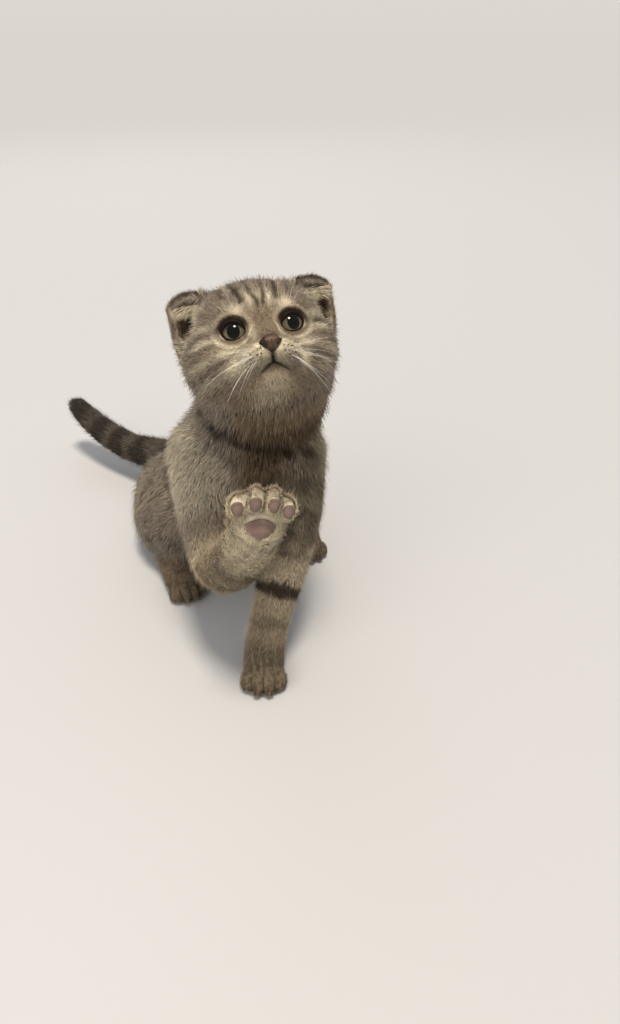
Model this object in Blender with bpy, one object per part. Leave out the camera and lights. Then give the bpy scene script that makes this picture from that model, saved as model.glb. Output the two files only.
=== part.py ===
"""A Scottish fold kitten at life size, sitting up on its haunches with one forepaw raised.

Metres, +Z up. The kitten faces -Y and a little +X, and its left side is on +X. The origin is
on the floor under the rump. The whole animal is shaped as one soft form, out to the tips of
its coat, and is then parted by thin cuts into the parts that a person would name.
"""

import math

import bmesh
import bpy
from mathutils import Matrix, Vector
from mathutils.bvhtree import BVHTree

# Driving dimensions, in metres and degrees
COAT_VOXEL = 0.0015
COAT_SMOOTHING = 24
DETAIL_SMOOTHING = 3
PLAIN_TRIANGLES = 3500
DETAIL_TRIANGLES = 3300
EAR_VOXEL = 0.0009
EAR_TRIANGLES = 380
PART_GAP = 0.0003

HEAD_CENTRE = Vector((0.0545, -0.160, 0.2345))
HEAD_YAW = 11.0
HEAD_PITCH = 37.0
HEAD_ROLL = 5.0
HIPS_YAW = 27.0

HIND_TOES_AHEAD = 0.0835
HIND_TOES_OUT = 0.0600
LEFT_FOOT_BACK = 0.0040
LEFT_FOOT_IN = 0.0065
TAIL_RADIUS = 0.0150

EYE_RADIUS = 0.0092
EYE_CENTRE = (0.0236, 0.0153, 0.0012)
EYE_TURN_OUT = 11.0
EYE_TURN_UP = 3.0
EYE_OPENING = (0.0070, 0.0061)
LID_THICKNESS = 0.0012

MUZZLE_SIDE = 0.0009
NOSE_CENTRE = (0.0425, MUZZLE_SIDE, -0.0116)
NOSE_RADII = (0.0045, 0.0064, 0.0046)
NOSTRIL_SIDE = 0.0040
MOUTH_LINE = ((0.0, -0.0210), (0.0028, -0.0222), (0.0052, -0.0238), (0.0070, -0.0250))
PHILTRUM = ((MUZZLE_SIDE, -0.0145), (MUZZLE_SIDE, -0.0180), (MUZZLE_SIDE, -0.0216))
MOUTH_GROOVE = 0.0008
LIP_RADIUS = 0.0012
LIP_DROP = 0.0016

EAR_RIGHT_SIDE = 0.0360
EAR_LEFT_SIDE = 0.0385
EAR_LEAN = 8.0
FLAP_SLOPE = 30.0

COAT_COLOUR = (0.30, 0.26, 0.22)
NOSE_COLOUR = (0.18, 0.08, 0.06)
IRIS_COLOUR = (0.20, 0.19, 0.11)


def clear_scene():
    for old in list(bpy.data.objects):
        bpy.data.objects.remove(old, do_unlink=True)


def coat_material(name, colour, roughness):
    """A plain Principled material with the part's own colour."""
    material = bpy.data.materials.new(name)
    material.use_nodes = True
    shader = material.node_tree.nodes["Principled BSDF"]
    shader.inputs["Base Color"].default_value = (*colour, 1.0)
    shader.inputs["Roughness"].default_value = roughness
    shader.inputs["Metallic"].default_value = 0.0
    material.diffuse_color = (*colour, 1.0)
    return material


# Frames: where the head and the hips point

def axes_frame(centre, yaw, pitch, roll):
    """A matrix whose X runs forward, Y to the animal's left and Z up, for these angles in degrees."""
    yaw, pitch, roll = (math.radians(angle) for angle in (yaw, pitch, roll))
    forward = Vector((math.sin(yaw) * math.cos(pitch), -math.cos(yaw) * math.cos(pitch), math.sin(pitch)))
    left = Vector((math.cos(yaw), math.sin(yaw), 0.0))
    up = forward.cross(left)
    rolled_left = left * math.cos(roll) + up * math.sin(roll)
    rolled_up = up * math.cos(roll) - left * math.sin(roll)
    frame = Matrix((forward, rolled_left, rolled_up)).transposed().to_4x4()
    frame.translation = centre
    return frame


WORLD = Matrix.Identity(4)
HEAD = axes_frame(HEAD_CENTRE, HEAD_YAW, HEAD_PITCH, HEAD_ROLL)
HIPS = axes_frame(Vector((0.0, 0.0, 0.0)), HIPS_YAW, 0.0, 0.0)


def object_from(name, mesh_builder):
    """A new object in the scene, holding the mesh that this bmesh builder fills."""
    mesh = bpy.data.meshes.new(name)
    builder = bmesh.new()
    mesh_builder(builder)
    bmesh.ops.recalc_face_normals(builder, faces=builder.faces)
    builder.to_mesh(mesh)
    builder.free()
    obj = bpy.data.objects.new(name, mesh)
    bpy.context.scene.collection.objects.link(obj)
    return obj


def ball(frame, centre, radii, tilt=(0.0, 0.0, 0.0), fineness=4):
    """An ellipsoid placed in a frame, turned about its own centre by the tilt in degrees."""
    turn = Matrix.Rotation(math.radians(tilt[2]), 4, "Z")
    turn = turn @ Matrix.Rotation(math.radians(tilt[1]), 4, "Y")
    turn = turn @ Matrix.Rotation(math.radians(tilt[0]), 4, "X")
    place = frame @ Matrix.Translation(Vector(centre)) @ turn @ Matrix.Diagonal((*radii, 1.0))

    def build(builder):
        bmesh.ops.create_icosphere(builder, subdivisions=fineness, radius=1.0, matrix=place)

    return object_from("ball", build)


def between(a, b, share):
    """The value part way from a to b, for numbers and vectors alike."""
    return a * (1.0 - share) + b * share


def smooth_path(stations, steps):
    """Stations (centre, side radius, depth radius) joined by a smooth curve through each of them."""
    rows = [(*centre, side, depth) for centre, side, depth in stations]
    ends = [rows[0]] + rows + [rows[-1]]
    path = []
    for index in range(len(rows) - 1):
        before, start, end, after = (Vector(row) for row in ends[index:index + 4])
        for step in range(steps):
            t = step / steps
            path.append(
                0.5 * (2 * start + (end - before) * t
                       + (2 * before - 5 * start + 4 * end - after) * t ** 2
                       + (3 * start - before - 3 * end + after) * t ** 3)
            )
    path.append(Vector(rows[-1]))
    return path


def limb(frame, stations, side_axis=(0.0, 1.0, 0.0), steps=4, corners=20):
    """A rounded tube through the stations, flattened as their two radii say, with domed ends."""
    path = smooth_path(stations, steps)
    centres = [frame @ Vector(row[:3]) for row in path]
    hint = frame.to_3x3() @ Vector(side_axis)

    def ring(builder, centre, along, side, depth):
        across = (hint - along * hint.dot(along)).normalized()
        over = along.cross(across)
        corner = []
        for index in range(corners):
            angle = 2.0 * math.pi * index / corners
            offset = across * (side * math.cos(angle)) + over * (depth * math.sin(angle))
            corner.append(builder.verts.new(centre + offset))
        return corner

    def build(builder):
        last = len(path) - 1
        rings = []
        for index, row in enumerate(path):
            along = (centres[min(index + 1, last)] - centres[max(index - 1, 0)]).normalized()
            side, depth = row[3], row[4]
            dome = min(side, depth)
            if index == 0:
                for angle in (70, 45, 20):
                    share = math.cos(math.radians(angle))
                    back = -along * dome * math.sin(math.radians(angle))
                    rings.append(ring(builder, centres[0] + back, along, side * share, depth * share))
            rings.append(ring(builder, centres[index], along, side, depth))
            if index == last:
                for angle in (20, 45, 70):
                    share = math.cos(math.radians(angle))
                    ahead = along * dome * math.sin(math.radians(angle))
                    rings.append(ring(builder, centres[last] + ahead, along, side * share, depth * share))
        for lower, upper in zip(rings, rings[1:]):
            for index in range(corners):
                after = (index + 1) % corners
                builder.faces.new((lower[index], lower[after], upper[after], upper[index]))
        builder.faces.new(list(reversed(rings[0])))
        builder.faces.new(rings[-1])

    return object_from("limb", build)


# The soft forms of the kitten, coat included

def head_forms():
    """Round skull, full cheeks, short muzzle and chin of a young fold, in the head's frame."""
    forms = [
        ball(HEAD, (-0.006, 0.0, 0.008), (0.041, 0.044, 0.0315)),
        ball(HEAD, (0.010, 0.0, -0.022), (0.026, 0.031, 0.016)),
        ball(HEAD, (0.0295, 0.0005, -0.0045), (0.0130, 0.0085, 0.0085)),
        ball(HEAD, (0.0262, MUZZLE_SIDE, -0.0273), (0.0125, 0.0120, 0.0082)),
    ]
    for side in (-1.0, 1.0):
        forms.append(ball(HEAD, (0.001, side * 0.0215, -0.0080), (0.0295, 0.0255, 0.0265)))
        forms.append(ball(HEAD, (0.0318, side * 0.0078 + MUZZLE_SIDE, -0.0160), (0.0122, 0.0100, 0.0086)))
        forms.append(ball(HEAD, (0.0170, side * 0.0150, 0.0140), (0.0145, 0.0140, 0.0110)))
        forms.append(ball(HEAD, (0.0222, side * 0.0160, 0.0014), (0.0104, 0.0118, 0.0108)))
    return forms


def trunk_forms():
    """Neck, shoulders, rib cage, belly and rump of the sitting body."""
    neck = [
        ((0.0475, -0.102, 0.152), 0.044, 0.036),
        ((0.0530, -0.122, 0.184), 0.044, 0.036),
        ((0.0580, -0.143, 0.212), 0.044, 0.034),
    ]
    trunk = [
        ((-0.002, 0.022, 0.042), 0.049, 0.044),
        ((0.006, -0.006, 0.056), 0.051, 0.052),
        ((0.022, -0.044, 0.090), 0.050, 0.053),
        ((0.038, -0.084, 0.130), 0.047, 0.048),
        ((0.047, -0.108, 0.160), 0.043, 0.040),
    ]
    underside = [
        ((0.049, -0.118, 0.140), 0.038, 0.032),
        ((0.042, -0.108, 0.100), 0.038, 0.038),
        ((0.028, -0.078, 0.062), 0.042, 0.038),
        ((0.012, -0.036, 0.038), 0.046, 0.038),
    ]
    return [
        limb(WORLD, neck, side_axis=(1.0, 0.12, 0.0)),
        limb(WORLD, trunk, side_axis=(0.92, 0.38, 0.0)),
        limb(WORLD, underside, side_axis=(0.95, 0.30, 0.0)),
        ball(WORLD, (-0.001, 0.018, 0.038), (0.051, 0.056, 0.045)),
    ]


def paw_forms(frame, length, width, height):
    """A paw in its own frame, X toward the toes: the pad mass and four rounded toes."""
    forms = [ball(frame, (-0.30 * length, 0.0, 0.46 * height), (0.52 * length, 0.43 * width, 0.50 * height))]
    toes = ((-0.345, 0.10, 0.86), (-0.125, 0.22, 1.0), (0.125, 0.22, 1.0), (0.345, 0.10, 0.86))
    for across, ahead, size in toes:
        centre = (ahead * length, across * width, 0.36 * height * size)
        radii = (0.30 * length * size, 0.165 * width * size, 0.38 * height * size)
        forms.append(ball(frame, centre, radii, fineness=3))
    return forms


def palm_pads(frame, length, width):
    """The bare pads under a paw: a broad one behind and a small one under each toe."""
    pads = [ball(frame, (-0.16 * length, 0.0, 0.0030), (0.19 * length, 0.25 * width, 0.0040), fineness=3)]
    for across, ahead in ((-0.345, 0.13), (-0.125, 0.27), (0.125, 0.27), (0.345, 0.13)):
        place = (ahead * length, across * width, 0.0022)
        pads.append(ball(frame, place, (0.13 * length, 0.085 * width, 0.0034), fineness=3))
    return pads


def standing_foreleg_forms():
    """The left foreleg, straight down from the shoulder to a paw flat on the floor."""
    leg = [
        ((0.073, -0.112, 0.140), 0.024, 0.030),
        ((0.073, -0.136, 0.104), 0.021, 0.026),
        ((0.067, -0.158, 0.074), 0.0175, 0.0195),
        ((0.0575, -0.178, 0.045), 0.0145, 0.0150),
        ((0.0525, -0.189, 0.018), 0.0142, 0.0140),
    ]
    paw = axes_frame(Vector((0.0525, -0.2000, 0.0)), 2.0, 0.0, 0.0)
    return [limb(WORLD, leg, side_axis=(1.0, 0.2, 0.0))] + paw_forms(paw, 0.036, 0.034, 0.021)


def raised_foreleg_forms():
    """The right foreleg, lifted in front of the chest with the palm turned forward."""
    leg = [
        ((0.010, -0.108, 0.134), 0.028, 0.029),
        ((0.016, -0.140, 0.107), 0.025, 0.025),
        ((0.0255, -0.172, 0.085), 0.0210, 0.0200),
        ((0.0385, -0.195, 0.104), 0.0185, 0.0175),
        ((0.0485, -0.211, 0.128), 0.0170, 0.0160),
        ((0.0545, -0.220, 0.147), 0.0175, 0.0138),
    ]
    toes = Vector((0.22, -0.32, 0.93)).normalized()
    palm = Vector((0.10, -0.93, -0.36))
    palm = (palm - toes * palm.dot(toes)).normalized()
    across = (-palm).cross(toes)
    paw = Matrix((toes, across, -palm)).transposed().to_4x4()
    paw.translation = Vector((0.0575, -0.2310, 0.1565))
    forms = [limb(WORLD, leg, side_axis=(1.0, 0.2, 0.0))]
    return forms + paw_forms(paw, 0.038, 0.043, 0.024) + palm_pads(paw, 0.038, 0.043)


def hind_leg_forms(side):
    """A folded hind leg in the hips' frame: thigh, shank and a long foot flat on the floor."""
    toes_ahead = HIND_TOES_AHEAD if side < 0 else HIND_TOES_AHEAD - LEFT_FOOT_BACK
    toes_out = side * (HIND_TOES_OUT if side < 0 else HIND_TOES_OUT - LEFT_FOOT_IN)
    thigh = [
        ((-0.024, side * 0.030, 0.034), 0.034, 0.036),
        ((0.016, side * 0.047, 0.034), 0.031, 0.037),
        ((0.052, side * 0.050, 0.038), 0.023, 0.030),
    ]
    shank = [
        ((0.055, side * 0.052, 0.044), 0.018, 0.022),
        ((0.030, side * 0.054, 0.024), 0.016, 0.020),
        ((0.014, side * 0.055, 0.014), 0.0135, 0.0135),
    ]
    foot = [
        ((0.010, side * 0.055, 0.0125), 0.0130, 0.0125),
        ((0.045, between(side * 0.055, toes_out, 0.6), 0.0125), 0.0130, 0.0125),
        ((toes_ahead - 0.008, toes_out, 0.0125), 0.0140, 0.0125),
    ]
    paw = HIPS @ Matrix.Translation((toes_ahead, toes_out, 0.0))
    forms = [limb(HIPS, thigh), limb(HIPS, shank), limb(HIPS, foot)]
    return forms + paw_forms(paw, 0.032, 0.031, 0.020)


TAIL = [
    ((-0.034, 0.055, 0.038), 1.25),
    ((-0.064, 0.076, 0.034), 1.10),
    ((-0.092, 0.094, 0.031), 1.00),
    ((-0.120, 0.115, 0.035), 0.95),
    ((-0.144, 0.136, 0.043), 0.85),
    ((-0.158, 0.149, 0.050), 0.72),
]


# Where the body is parted: each part is what lies inside a cylinder between two points
PARTINGS = [
    ("head", ((0.0525, -0.1440, 0.2010), (0.0560, -0.1900, 0.3300), 0.085)),
    ("neck", ((0.0470, -0.1120, 0.1640), (0.0560, -0.1500, 0.2400), 0.060)),
    ("forepaw_left", ((0.0535, -0.1900, 0.0230), (0.0500, -0.2100, -0.0300), 0.045)),
    ("foreleg_left", ((0.0690, -0.1530, 0.0830), (0.0480, -0.2050, -0.0100), 0.027)),
    ("forepaw_right", ((0.0530, -0.2180, 0.1430), (0.0700, -0.2540, 0.2200), 0.035)),
    ("foreleg_right", ((0.0280, -0.2000, 0.0500), (0.0280, -0.2000, 0.1900), 0.040)),
    ("tail_tip", ((-0.1260, 0.1200, 0.0370), (-0.1900, 0.1760, 0.0620), 0.034)),
    ("tail_middle", ((-0.0930, 0.0950, 0.0310), (-0.1600, 0.1480, 0.0450), 0.030)),
    ("tail_base", ((-0.0560, 0.0710, 0.0400), (-0.1100, 0.1080, 0.0300), 0.030)),
]
HIND_PARTINGS = [
    ("hindpaw", ((0.0720, 0.0580, 0.0080), (0.1400, 0.0580, 0.0080), 0.022)),
    ("hindleg", ((0.0180, 0.0340, 0.0250), (0.0180, 0.1400, 0.0250), 0.064)),
]
DETAIL_PLACES = [
    (HEAD @ Vector((0.030, 0.0, -0.010)), 0.036),
    (Vector((0.0520, -0.2000, 0.010)), 0.026),
    (Vector((0.0600, -0.2440, 0.170)), 0.030),
    (HIPS @ Vector((0.085, 0.058, 0.010)), 0.026),
    (HIPS @ Vector((0.085, -0.060, 0.010)), 0.026),
]


def tail_forms():
    """A thick, slowly tapering tail laid out behind and lifted a little at its tip."""
    stations = [(centre, TAIL_RADIUS * share, TAIL_RADIUS * share) for centre, share in TAIL]
    return [limb(WORLD, stations, side_axis=(0.66, 0.75, 0.0))]


# Joining, smoothing and thinning the forms

def select_only(objects, active):
    bpy.ops.object.select_all(action="DESELECT")
    for obj in objects:
        obj.select_set(True)
    bpy.context.view_layer.objects.active = active


def joined(name, forms):
    """The forms as one object of overlapping closed shells."""
    select_only(forms, forms[0])
    bpy.ops.object.join()
    whole = bpy.context.view_layer.objects.active
    whole.name = name
    return whole


def applied(obj, kind, **settings):
    """Adds a modifier with these settings and applies it."""
    modifier = obj.modifiers.new(kind.title(), kind)
    for key, value in settings.items():
        setattr(modifier, key, value)
    select_only([obj], obj)
    bpy.ops.object.modifier_apply(modifier=modifier.name)


def fused(name, forms, voxel, smoothing):
    """One closed skin round the forms, with the joins between them softened."""
    whole = joined(name, forms)
    applied(whole, "REMESH", mode="VOXEL", voxel_size=voxel)
    applied(whole, "SMOOTH", factor=0.5, iterations=smoothing)
    return whole


def weighted(obj, name, weight_at):
    """The name of a new vertex group holding what the function gives for each point."""
    group = obj.vertex_groups.new(name=name)
    for vertex in obj.data.vertices:
        group.add([vertex.index], weight_at(vertex.co), "REPLACE")
    return group.name


def away_from_detail(point):
    """1 on the plain body, falling to 0 on the face and the paws."""
    weight = 1.0
    for centre, reach in DETAIL_PLACES:
        weight = min(weight, max(0.0, (point - centre).length / reach - 0.85) / 0.5)
    return weight


def thinned(obj, triangles):
    """The same form in about this many triangles."""
    applied(obj, "TRIANGULATE")
    count = len(obj.data.polygons)
    if count > triangles:
        applied(obj, "DECIMATE", ratio=triangles / count, use_collapse_triangulate=True)


def thinned_apart(obj, plain_triangles, detail_triangles):
    """Thins the plain body and the detailed places each to its own number of triangles."""
    applied(obj, "TRIANGULATE")
    group = obj.vertex_groups.new(name="detail")
    detailed = {vertex.index for vertex in obj.data.vertices if away_from_detail(vertex.co) < 0.5}
    group.add(list(detailed), 1.0, "REPLACE")
    kept = sum(1 for face in obj.data.polygons if detailed.issuperset(face.vertices))
    ratio = (kept + plain_triangles) / len(obj.data.polygons)
    applied(obj, "DECIMATE", ratio=ratio, vertex_group=group.name, invert_vertex_group=True,
            use_collapse_triangulate=True)
    ratio = (detail_triangles + plain_triangles) / len(obj.data.polygons)
    applied(obj, "DECIMATE", ratio=ratio, vertex_group=group.name, use_collapse_triangulate=True)


def largest_shell(obj):
    """Keeps only the largest closed surface of a mesh."""
    builder = bmesh.new()
    builder.from_mesh(obj.data)
    unseen = set(builder.faces)
    shells = []
    while unseen:
        shell = set()
        front = [unseen.pop()]
        while front:
            face = front.pop()
            shell.add(face)
            for edge in face.edges:
                for other in edge.link_faces:
                    if other in unseen:
                        unseen.discard(other)
                        front.append(other)
        shells.append(shell)
    shells.sort(key=lambda shell: sum(face.calc_area() for face in shell), reverse=True)
    scraps = [face for shell in shells[1:] for face in shell]
    bmesh.ops.delete(builder, geom=scraps, context="FACES")
    builder.to_mesh(obj.data)
    builder.free()


def combined(obj, other, operation, solver="EXACT"):
    """Applies a Boolean of the other object to this one."""
    applied(obj, "BOOLEAN", operation=operation, solver=solver, object=other)


def copied(obj, name):
    twin = bpy.data.objects.new(name, obj.data.copy())
    bpy.context.scene.collection.objects.link(twin)
    return twin


def grown(obj, gap):
    """A copy of a closed object with its surface moved out by the gap."""
    twin = copied(obj, obj.name + "_grown")
    normals = [vertex.normal.copy() for vertex in twin.data.vertices]
    for vertex, normal in zip(twin.data.vertices, normals):
        vertex.co += normal * gap
    return twin


def removed(obj):
    bpy.data.objects.remove(obj, do_unlink=True)


def cylinder_between(start, end, radius):
    """A closed cylinder from one point to another, used to take a stretch of the body."""
    start, end = Vector(start), Vector(end)
    axis = end - start
    place = Matrix.Translation((start + end) / 2.0) @ axis.to_track_quat("Z", "Y").to_matrix().to_4x4()

    def build(builder):
        bmesh.ops.create_cone(
            builder, cap_ends=True, segments=24, radius1=radius, radius2=radius,
            depth=axis.length, matrix=place,
        )

    return object_from("region", build)


def taken(body, name, region):
    """Parts off what lies inside the region as its own object and leaves the gap round it."""
    piece = copied(body, name)
    combined(piece, region, "INTERSECT")
    largest_shell(piece)
    wider = grown(region, PART_GAP)
    combined(body, wider, "DIFFERENCE")
    largest_shell(body)
    removed(wider)
    removed(region)
    return piece


def fitted_into(host, piece):
    """Cuts a seat for the piece into its host, with the gap between them."""
    wider = grown(piece, PART_GAP)
    combined(host, wider, "DIFFERENCE", "MANIFOLD")
    removed(wider)


# The face

def eye_frame(side):
    """The frame of one eye: X looks out of it, turned outward and a little up."""
    centre = Vector((EYE_CENTRE[0], side * EYE_CENTRE[1], EYE_CENTRE[2]))
    turn = Matrix.Rotation(math.radians(side * EYE_TURN_OUT), 4, "Z")
    lift = Matrix.Rotation(math.radians(-EYE_TURN_UP), 4, "Y")
    return HEAD @ Matrix.Translation(centre) @ turn @ lift


def eyeball(side):
    eye = ball(eye_frame(side), (0.0, 0.0, 0.0), (EYE_RADIUS,) * 3, fineness=3)
    eye.name = "eye_left" if side > 0 else "eye_right"
    return eye


def eye_opening(side):
    """What clears the coat in front of the eye, in the shape of the open lids."""
    wide, high = EYE_OPENING
    stations = [((0.0, 0.0, 0.0), wide, high), ((0.030, 0.0, 0.0), wide, high)]
    return limb(eye_frame(side), stations, steps=1)


def lid_rim(side, segments=26, corners=6):
    """The rolled edge of both lids: a ring that lies on the eyeball round its opening."""
    frame = eye_frame(side)
    wide, high = EYE_OPENING
    sphere = EYE_RADIUS + 0.35 * LID_THICKNESS

    def build(builder):
        rings = []
        for index in range(segments):
            angle = 2.0 * math.pi * index / segments
            across = (wide + 0.3 * LID_THICKNESS) * math.cos(angle)
            over = (high + 0.3 * LID_THICKNESS) * math.sin(angle)
            centre = Vector((math.sqrt(sphere ** 2 - across ** 2 - over ** 2), across, over))
            outward = Vector((0.0, across, over)).normalized()
            ahead = Vector((1.0, 0.0, 0.0))
            ring = []
            for corner in range(corners):
                turn = 2.0 * math.pi * corner / corners
                offset = (outward * math.cos(turn) + ahead * math.sin(turn)) * LID_THICKNESS
                ring.append(builder.verts.new(frame @ (centre + offset)))
            rings.append(ring)
        for index, ring in enumerate(rings):
            after = rings[(index + 1) % segments]
            for corner in range(corners):
                other = (corner + 1) % corners
                builder.faces.new((ring[corner], ring[other], after[other], after[corner]))

    return object_from("lid", build)


def surface_ahead(tree, side, up):
    """The point of the face straight ahead of this place in the head's frame."""
    start = HEAD @ Vector((0.08, side, up))
    forward = HEAD.to_3x3() @ Vector((1.0, 0.0, 0.0))
    hit = tree.ray_cast(start, -forward)[0]
    return HEAD.inverted() @ hit


def face_line(tree, points, radius, rise):
    """A thin tube that follows the face along these (side, up) points, raised or sunk by the rise."""
    stations = []
    for side, up in points:
        spot = surface_ahead(tree, side, up)
        stations.append(((spot.x + rise, spot.y, spot.z), radius, radius))
    return limb(HEAD, stations, side_axis=(1.0, 0.0, 0.0), steps=2, corners=6)


def mouth_curve(drop=0.0):
    """The open ^ of the closed mouth from corner to corner, moved down by the drop."""
    right = [(MUZZLE_SIDE - across, up - drop) for across, up in reversed(MOUTH_LINE)]
    left = [(MUZZLE_SIDE + across, up - drop) for across, up in MOUTH_LINE]
    return right + left[1:]


def nose_leather():
    """The bare nose: wide above, drawn to a point below, with a nostril cut in from each side."""
    nose = ball(HEAD, NOSE_CENTRE, NOSE_RADII, fineness=2)
    nose.name = "nose"
    to_head = HEAD.inverted()
    for vertex in nose.data.vertices:
        local = to_head @ vertex.co
        height = (local.z - NOSE_CENTRE[2]) / NOSE_RADII[2]
        local.y = NOSE_CENTRE[1] + (local.y - NOSE_CENTRE[1]) * (0.92 + 0.55 * min(height, 0.0) + 0.1 * height)
        vertex.co = HEAD @ local
    for side in (-1.0, 1.0):
        place = (NOSE_CENTRE[0] + 0.0034, NOSE_CENTRE[1] + side * NOSTRIL_SIDE, NOSE_CENTRE[2] + 0.0006)
        nostril = ball(HEAD, place, (0.0026, 0.0016, 0.0012), tilt=(side * 25.0, 0.0, 0.0), fineness=1)
        combined(nose, nostril, "DIFFERENCE")
        removed(nostril)
    return nose


def ear_place(side, ahead, out, up):
    """A place in the head's frame, given from the middle of one ear."""
    return ahead, side * ((EAR_LEFT_SIDE if side > 0 else EAR_RIGHT_SIDE) + out), up


def ear_hollow(side):
    """The open hollow of the ear, below the flap."""
    return ball(HEAD, ear_place(side, 0.0060, 0.0010, 0.0165), (0.0125, 0.0072, 0.0090),
                tilt=(side * -EAR_LEAN, 0.0, 0.0), fineness=2)


def ear(side):
    """A small, low ear: a cup whose top is folded forward as a flap, with a wall on its outer side."""
    slope = (math.cos(math.radians(FLAP_SLOPE)), 0.0, -math.sin(math.radians(FLAP_SLOPE)))
    cup = ball(HEAD, ear_place(side, -0.0050, -0.0015, 0.0190), (0.0090, 0.0115, 0.0150),
               tilt=(side * -EAR_LEAN, 0.0, 0.0))
    flap = [
        (ear_place(side, -0.0005, -0.0135, 0.0312), 0.0045, 0.0022),
        (ear_place(side, 0.0010, -0.0065, 0.0333), 0.0058, 0.0024),
        (ear_place(side, 0.0005, 0.0015, 0.0335), 0.0060, 0.0024),
        (ear_place(side, -0.0015, 0.0075, 0.0317), 0.0055, 0.0024),
        (ear_place(side, -0.0040, 0.0105, 0.0285), 0.0045, 0.0022),
    ]
    wall = [
        (ear_place(side, -0.0045, 0.0092, 0.0285), 0.0024, 0.0055),
        (ear_place(side, -0.0050, 0.0092, 0.0200), 0.0024, 0.0065),
        (ear_place(side, -0.0060, 0.0088, 0.0110), 0.0026, 0.0065),
        (ear_place(side, -0.0070, 0.0070, 0.0030), 0.0030, 0.0055),
    ]
    forms = [cup, limb(HEAD, flap, side_axis=slope), limb(HEAD, wall)]
    whole = fused("ear_left" if side > 0 else "ear_right", forms, EAR_VOXEL, 4)
    thinned(whole, EAR_TRIANGLES)
    hollow = ear_hollow(side)
    combined(whole, hollow, "DIFFERENCE")
    removed(hollow)
    largest_shell(whole)
    return whole


def face_details(head):
    """Lids, lips and the line of the mouth, worked into the head."""
    tree = BVHTree.FromObject(head, bpy.context.evaluated_depsgraph_get())
    added = [face_line(tree, mouth_curve(LIP_DROP), LIP_RADIUS, -0.0004), lid_rim(-1.0), lid_rim(1.0)]
    cut = [face_line(tree, line, MOUTH_GROOVE, 0.0002) for line in (mouth_curve(), PHILTRUM)]
    cut += [eye_opening(-1.0), eye_opening(1.0)]
    for piece in added:
        combined(head, piece, "UNION", "MANIFOLD")
        removed(piece)
    for piece in cut:
        combined(head, piece, "DIFFERENCE", "MANIFOLD")
        removed(piece)


# The build

def hind_partings():
    """The same two stretches of each hind leg, mirrored across the hips."""
    partings = []
    for suffix, side in (("_right", -1.0), ("_left", 1.0)):
        for name, (start, end, radius) in HIND_PARTINGS:
            ends = [HIPS @ Vector((ahead, side * out, up)) for ahead, out, up in (start, end)]
            partings.append((name + suffix, (ends[0], ends[1], radius)))
    return partings


def floor_block():
    """What lies under the floor, cut away so that rump and feet rest on small flats."""
    def build(builder):
        place = Matrix.Translation((0.0, 0.0, -0.1)) @ Matrix.Diagonal((0.6, 0.8, 0.2, 1.0))
        bmesh.ops.create_cube(builder, size=1.0, matrix=place)

    return object_from("floor", build)


def whole_body():
    """The kitten without ears, eyes and nose leather, as one skin standing on its flats."""
    forms = head_forms() + trunk_forms() + standing_foreleg_forms() + raised_foreleg_forms()
    for side in (-1.0, 1.0):
        forms += hind_leg_forms(side)
    forms += tail_forms()
    body = fused("torso", forms, COAT_VOXEL, DETAIL_SMOOTHING)
    plain = weighted(body, "plain", away_from_detail)
    applied(body, "SMOOTH", factor=0.5, iterations=COAT_SMOOTHING, vertex_group=plain)
    thinned_apart(body, PLAIN_TRIANGLES, DETAIL_TRIANGLES)
    body.vertex_groups.clear()
    floor = floor_block()
    combined(body, floor, "DIFFERENCE")
    removed(floor)
    largest_shell(body)
    return body


def main():
    clear_scene()
    body = whole_body()
    coat = coat_material("coat", COAT_COLOUR, 0.9)
    leather = coat_material("nose leather", NOSE_COLOUR, 0.5)
    iris = coat_material("eye", IRIS_COLOUR, 0.1)

    pieces = [taken(body, name, cylinder_between(*ends)) for name, ends in PARTINGS + hind_partings()]
    head = next(piece for piece in pieces if piece.name == "head")
    face_details(head)
    eyes = [eyeball(side) for side in (-1.0, 1.0)]
    nose = nose_leather()
    ears = [ear(side) for side in (-1.0, 1.0)]
    for hollow in [ear_hollow(side) for side in (-1.0, 1.0)]:
        combined(head, hollow, "DIFFERENCE", "MANIFOLD")
        removed(hollow)
    for inset in eyes + [nose] + ears:
        fitted_into(head, inset)
    largest_shell(head)

    looks = {"nose": leather, "eye_left": iris, "eye_right": iris}
    for node in [body, nose] + pieces + eyes + ears:
        node.data.materials.clear()
        node.data.materials.append(looks.get(node.name, coat))
        node.data.shade_smooth()
        node.data.set_sharp_from_angle(angle=math.radians(45.0))


main()
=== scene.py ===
# %% [markdown]
# # A Scottish fold kitten, sitting up with one forepaw raised
#
# The kitten is a young silver-brown tabby with small folded ears, round eyes and a short, dense
# coat. The solids of the imported frame already give its true outline, out to the tips of the hair.
# This lesson lays one skin inside those solids, models the eyes, lids, nose, lips, pads and
# whiskers, and then covers the skin with a coat of small closed tufts.
#
# The first cell loads the frame. All that follows is in metres, with +Z up, in the frame's own place.

# %% Load the frame
import math

import bmesh
import bpy
import numpy as np
from mathutils import Matrix, Vector
from mathutils.bvhtree import BVHTree
from mathutils.kdtree import KDTree


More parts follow.
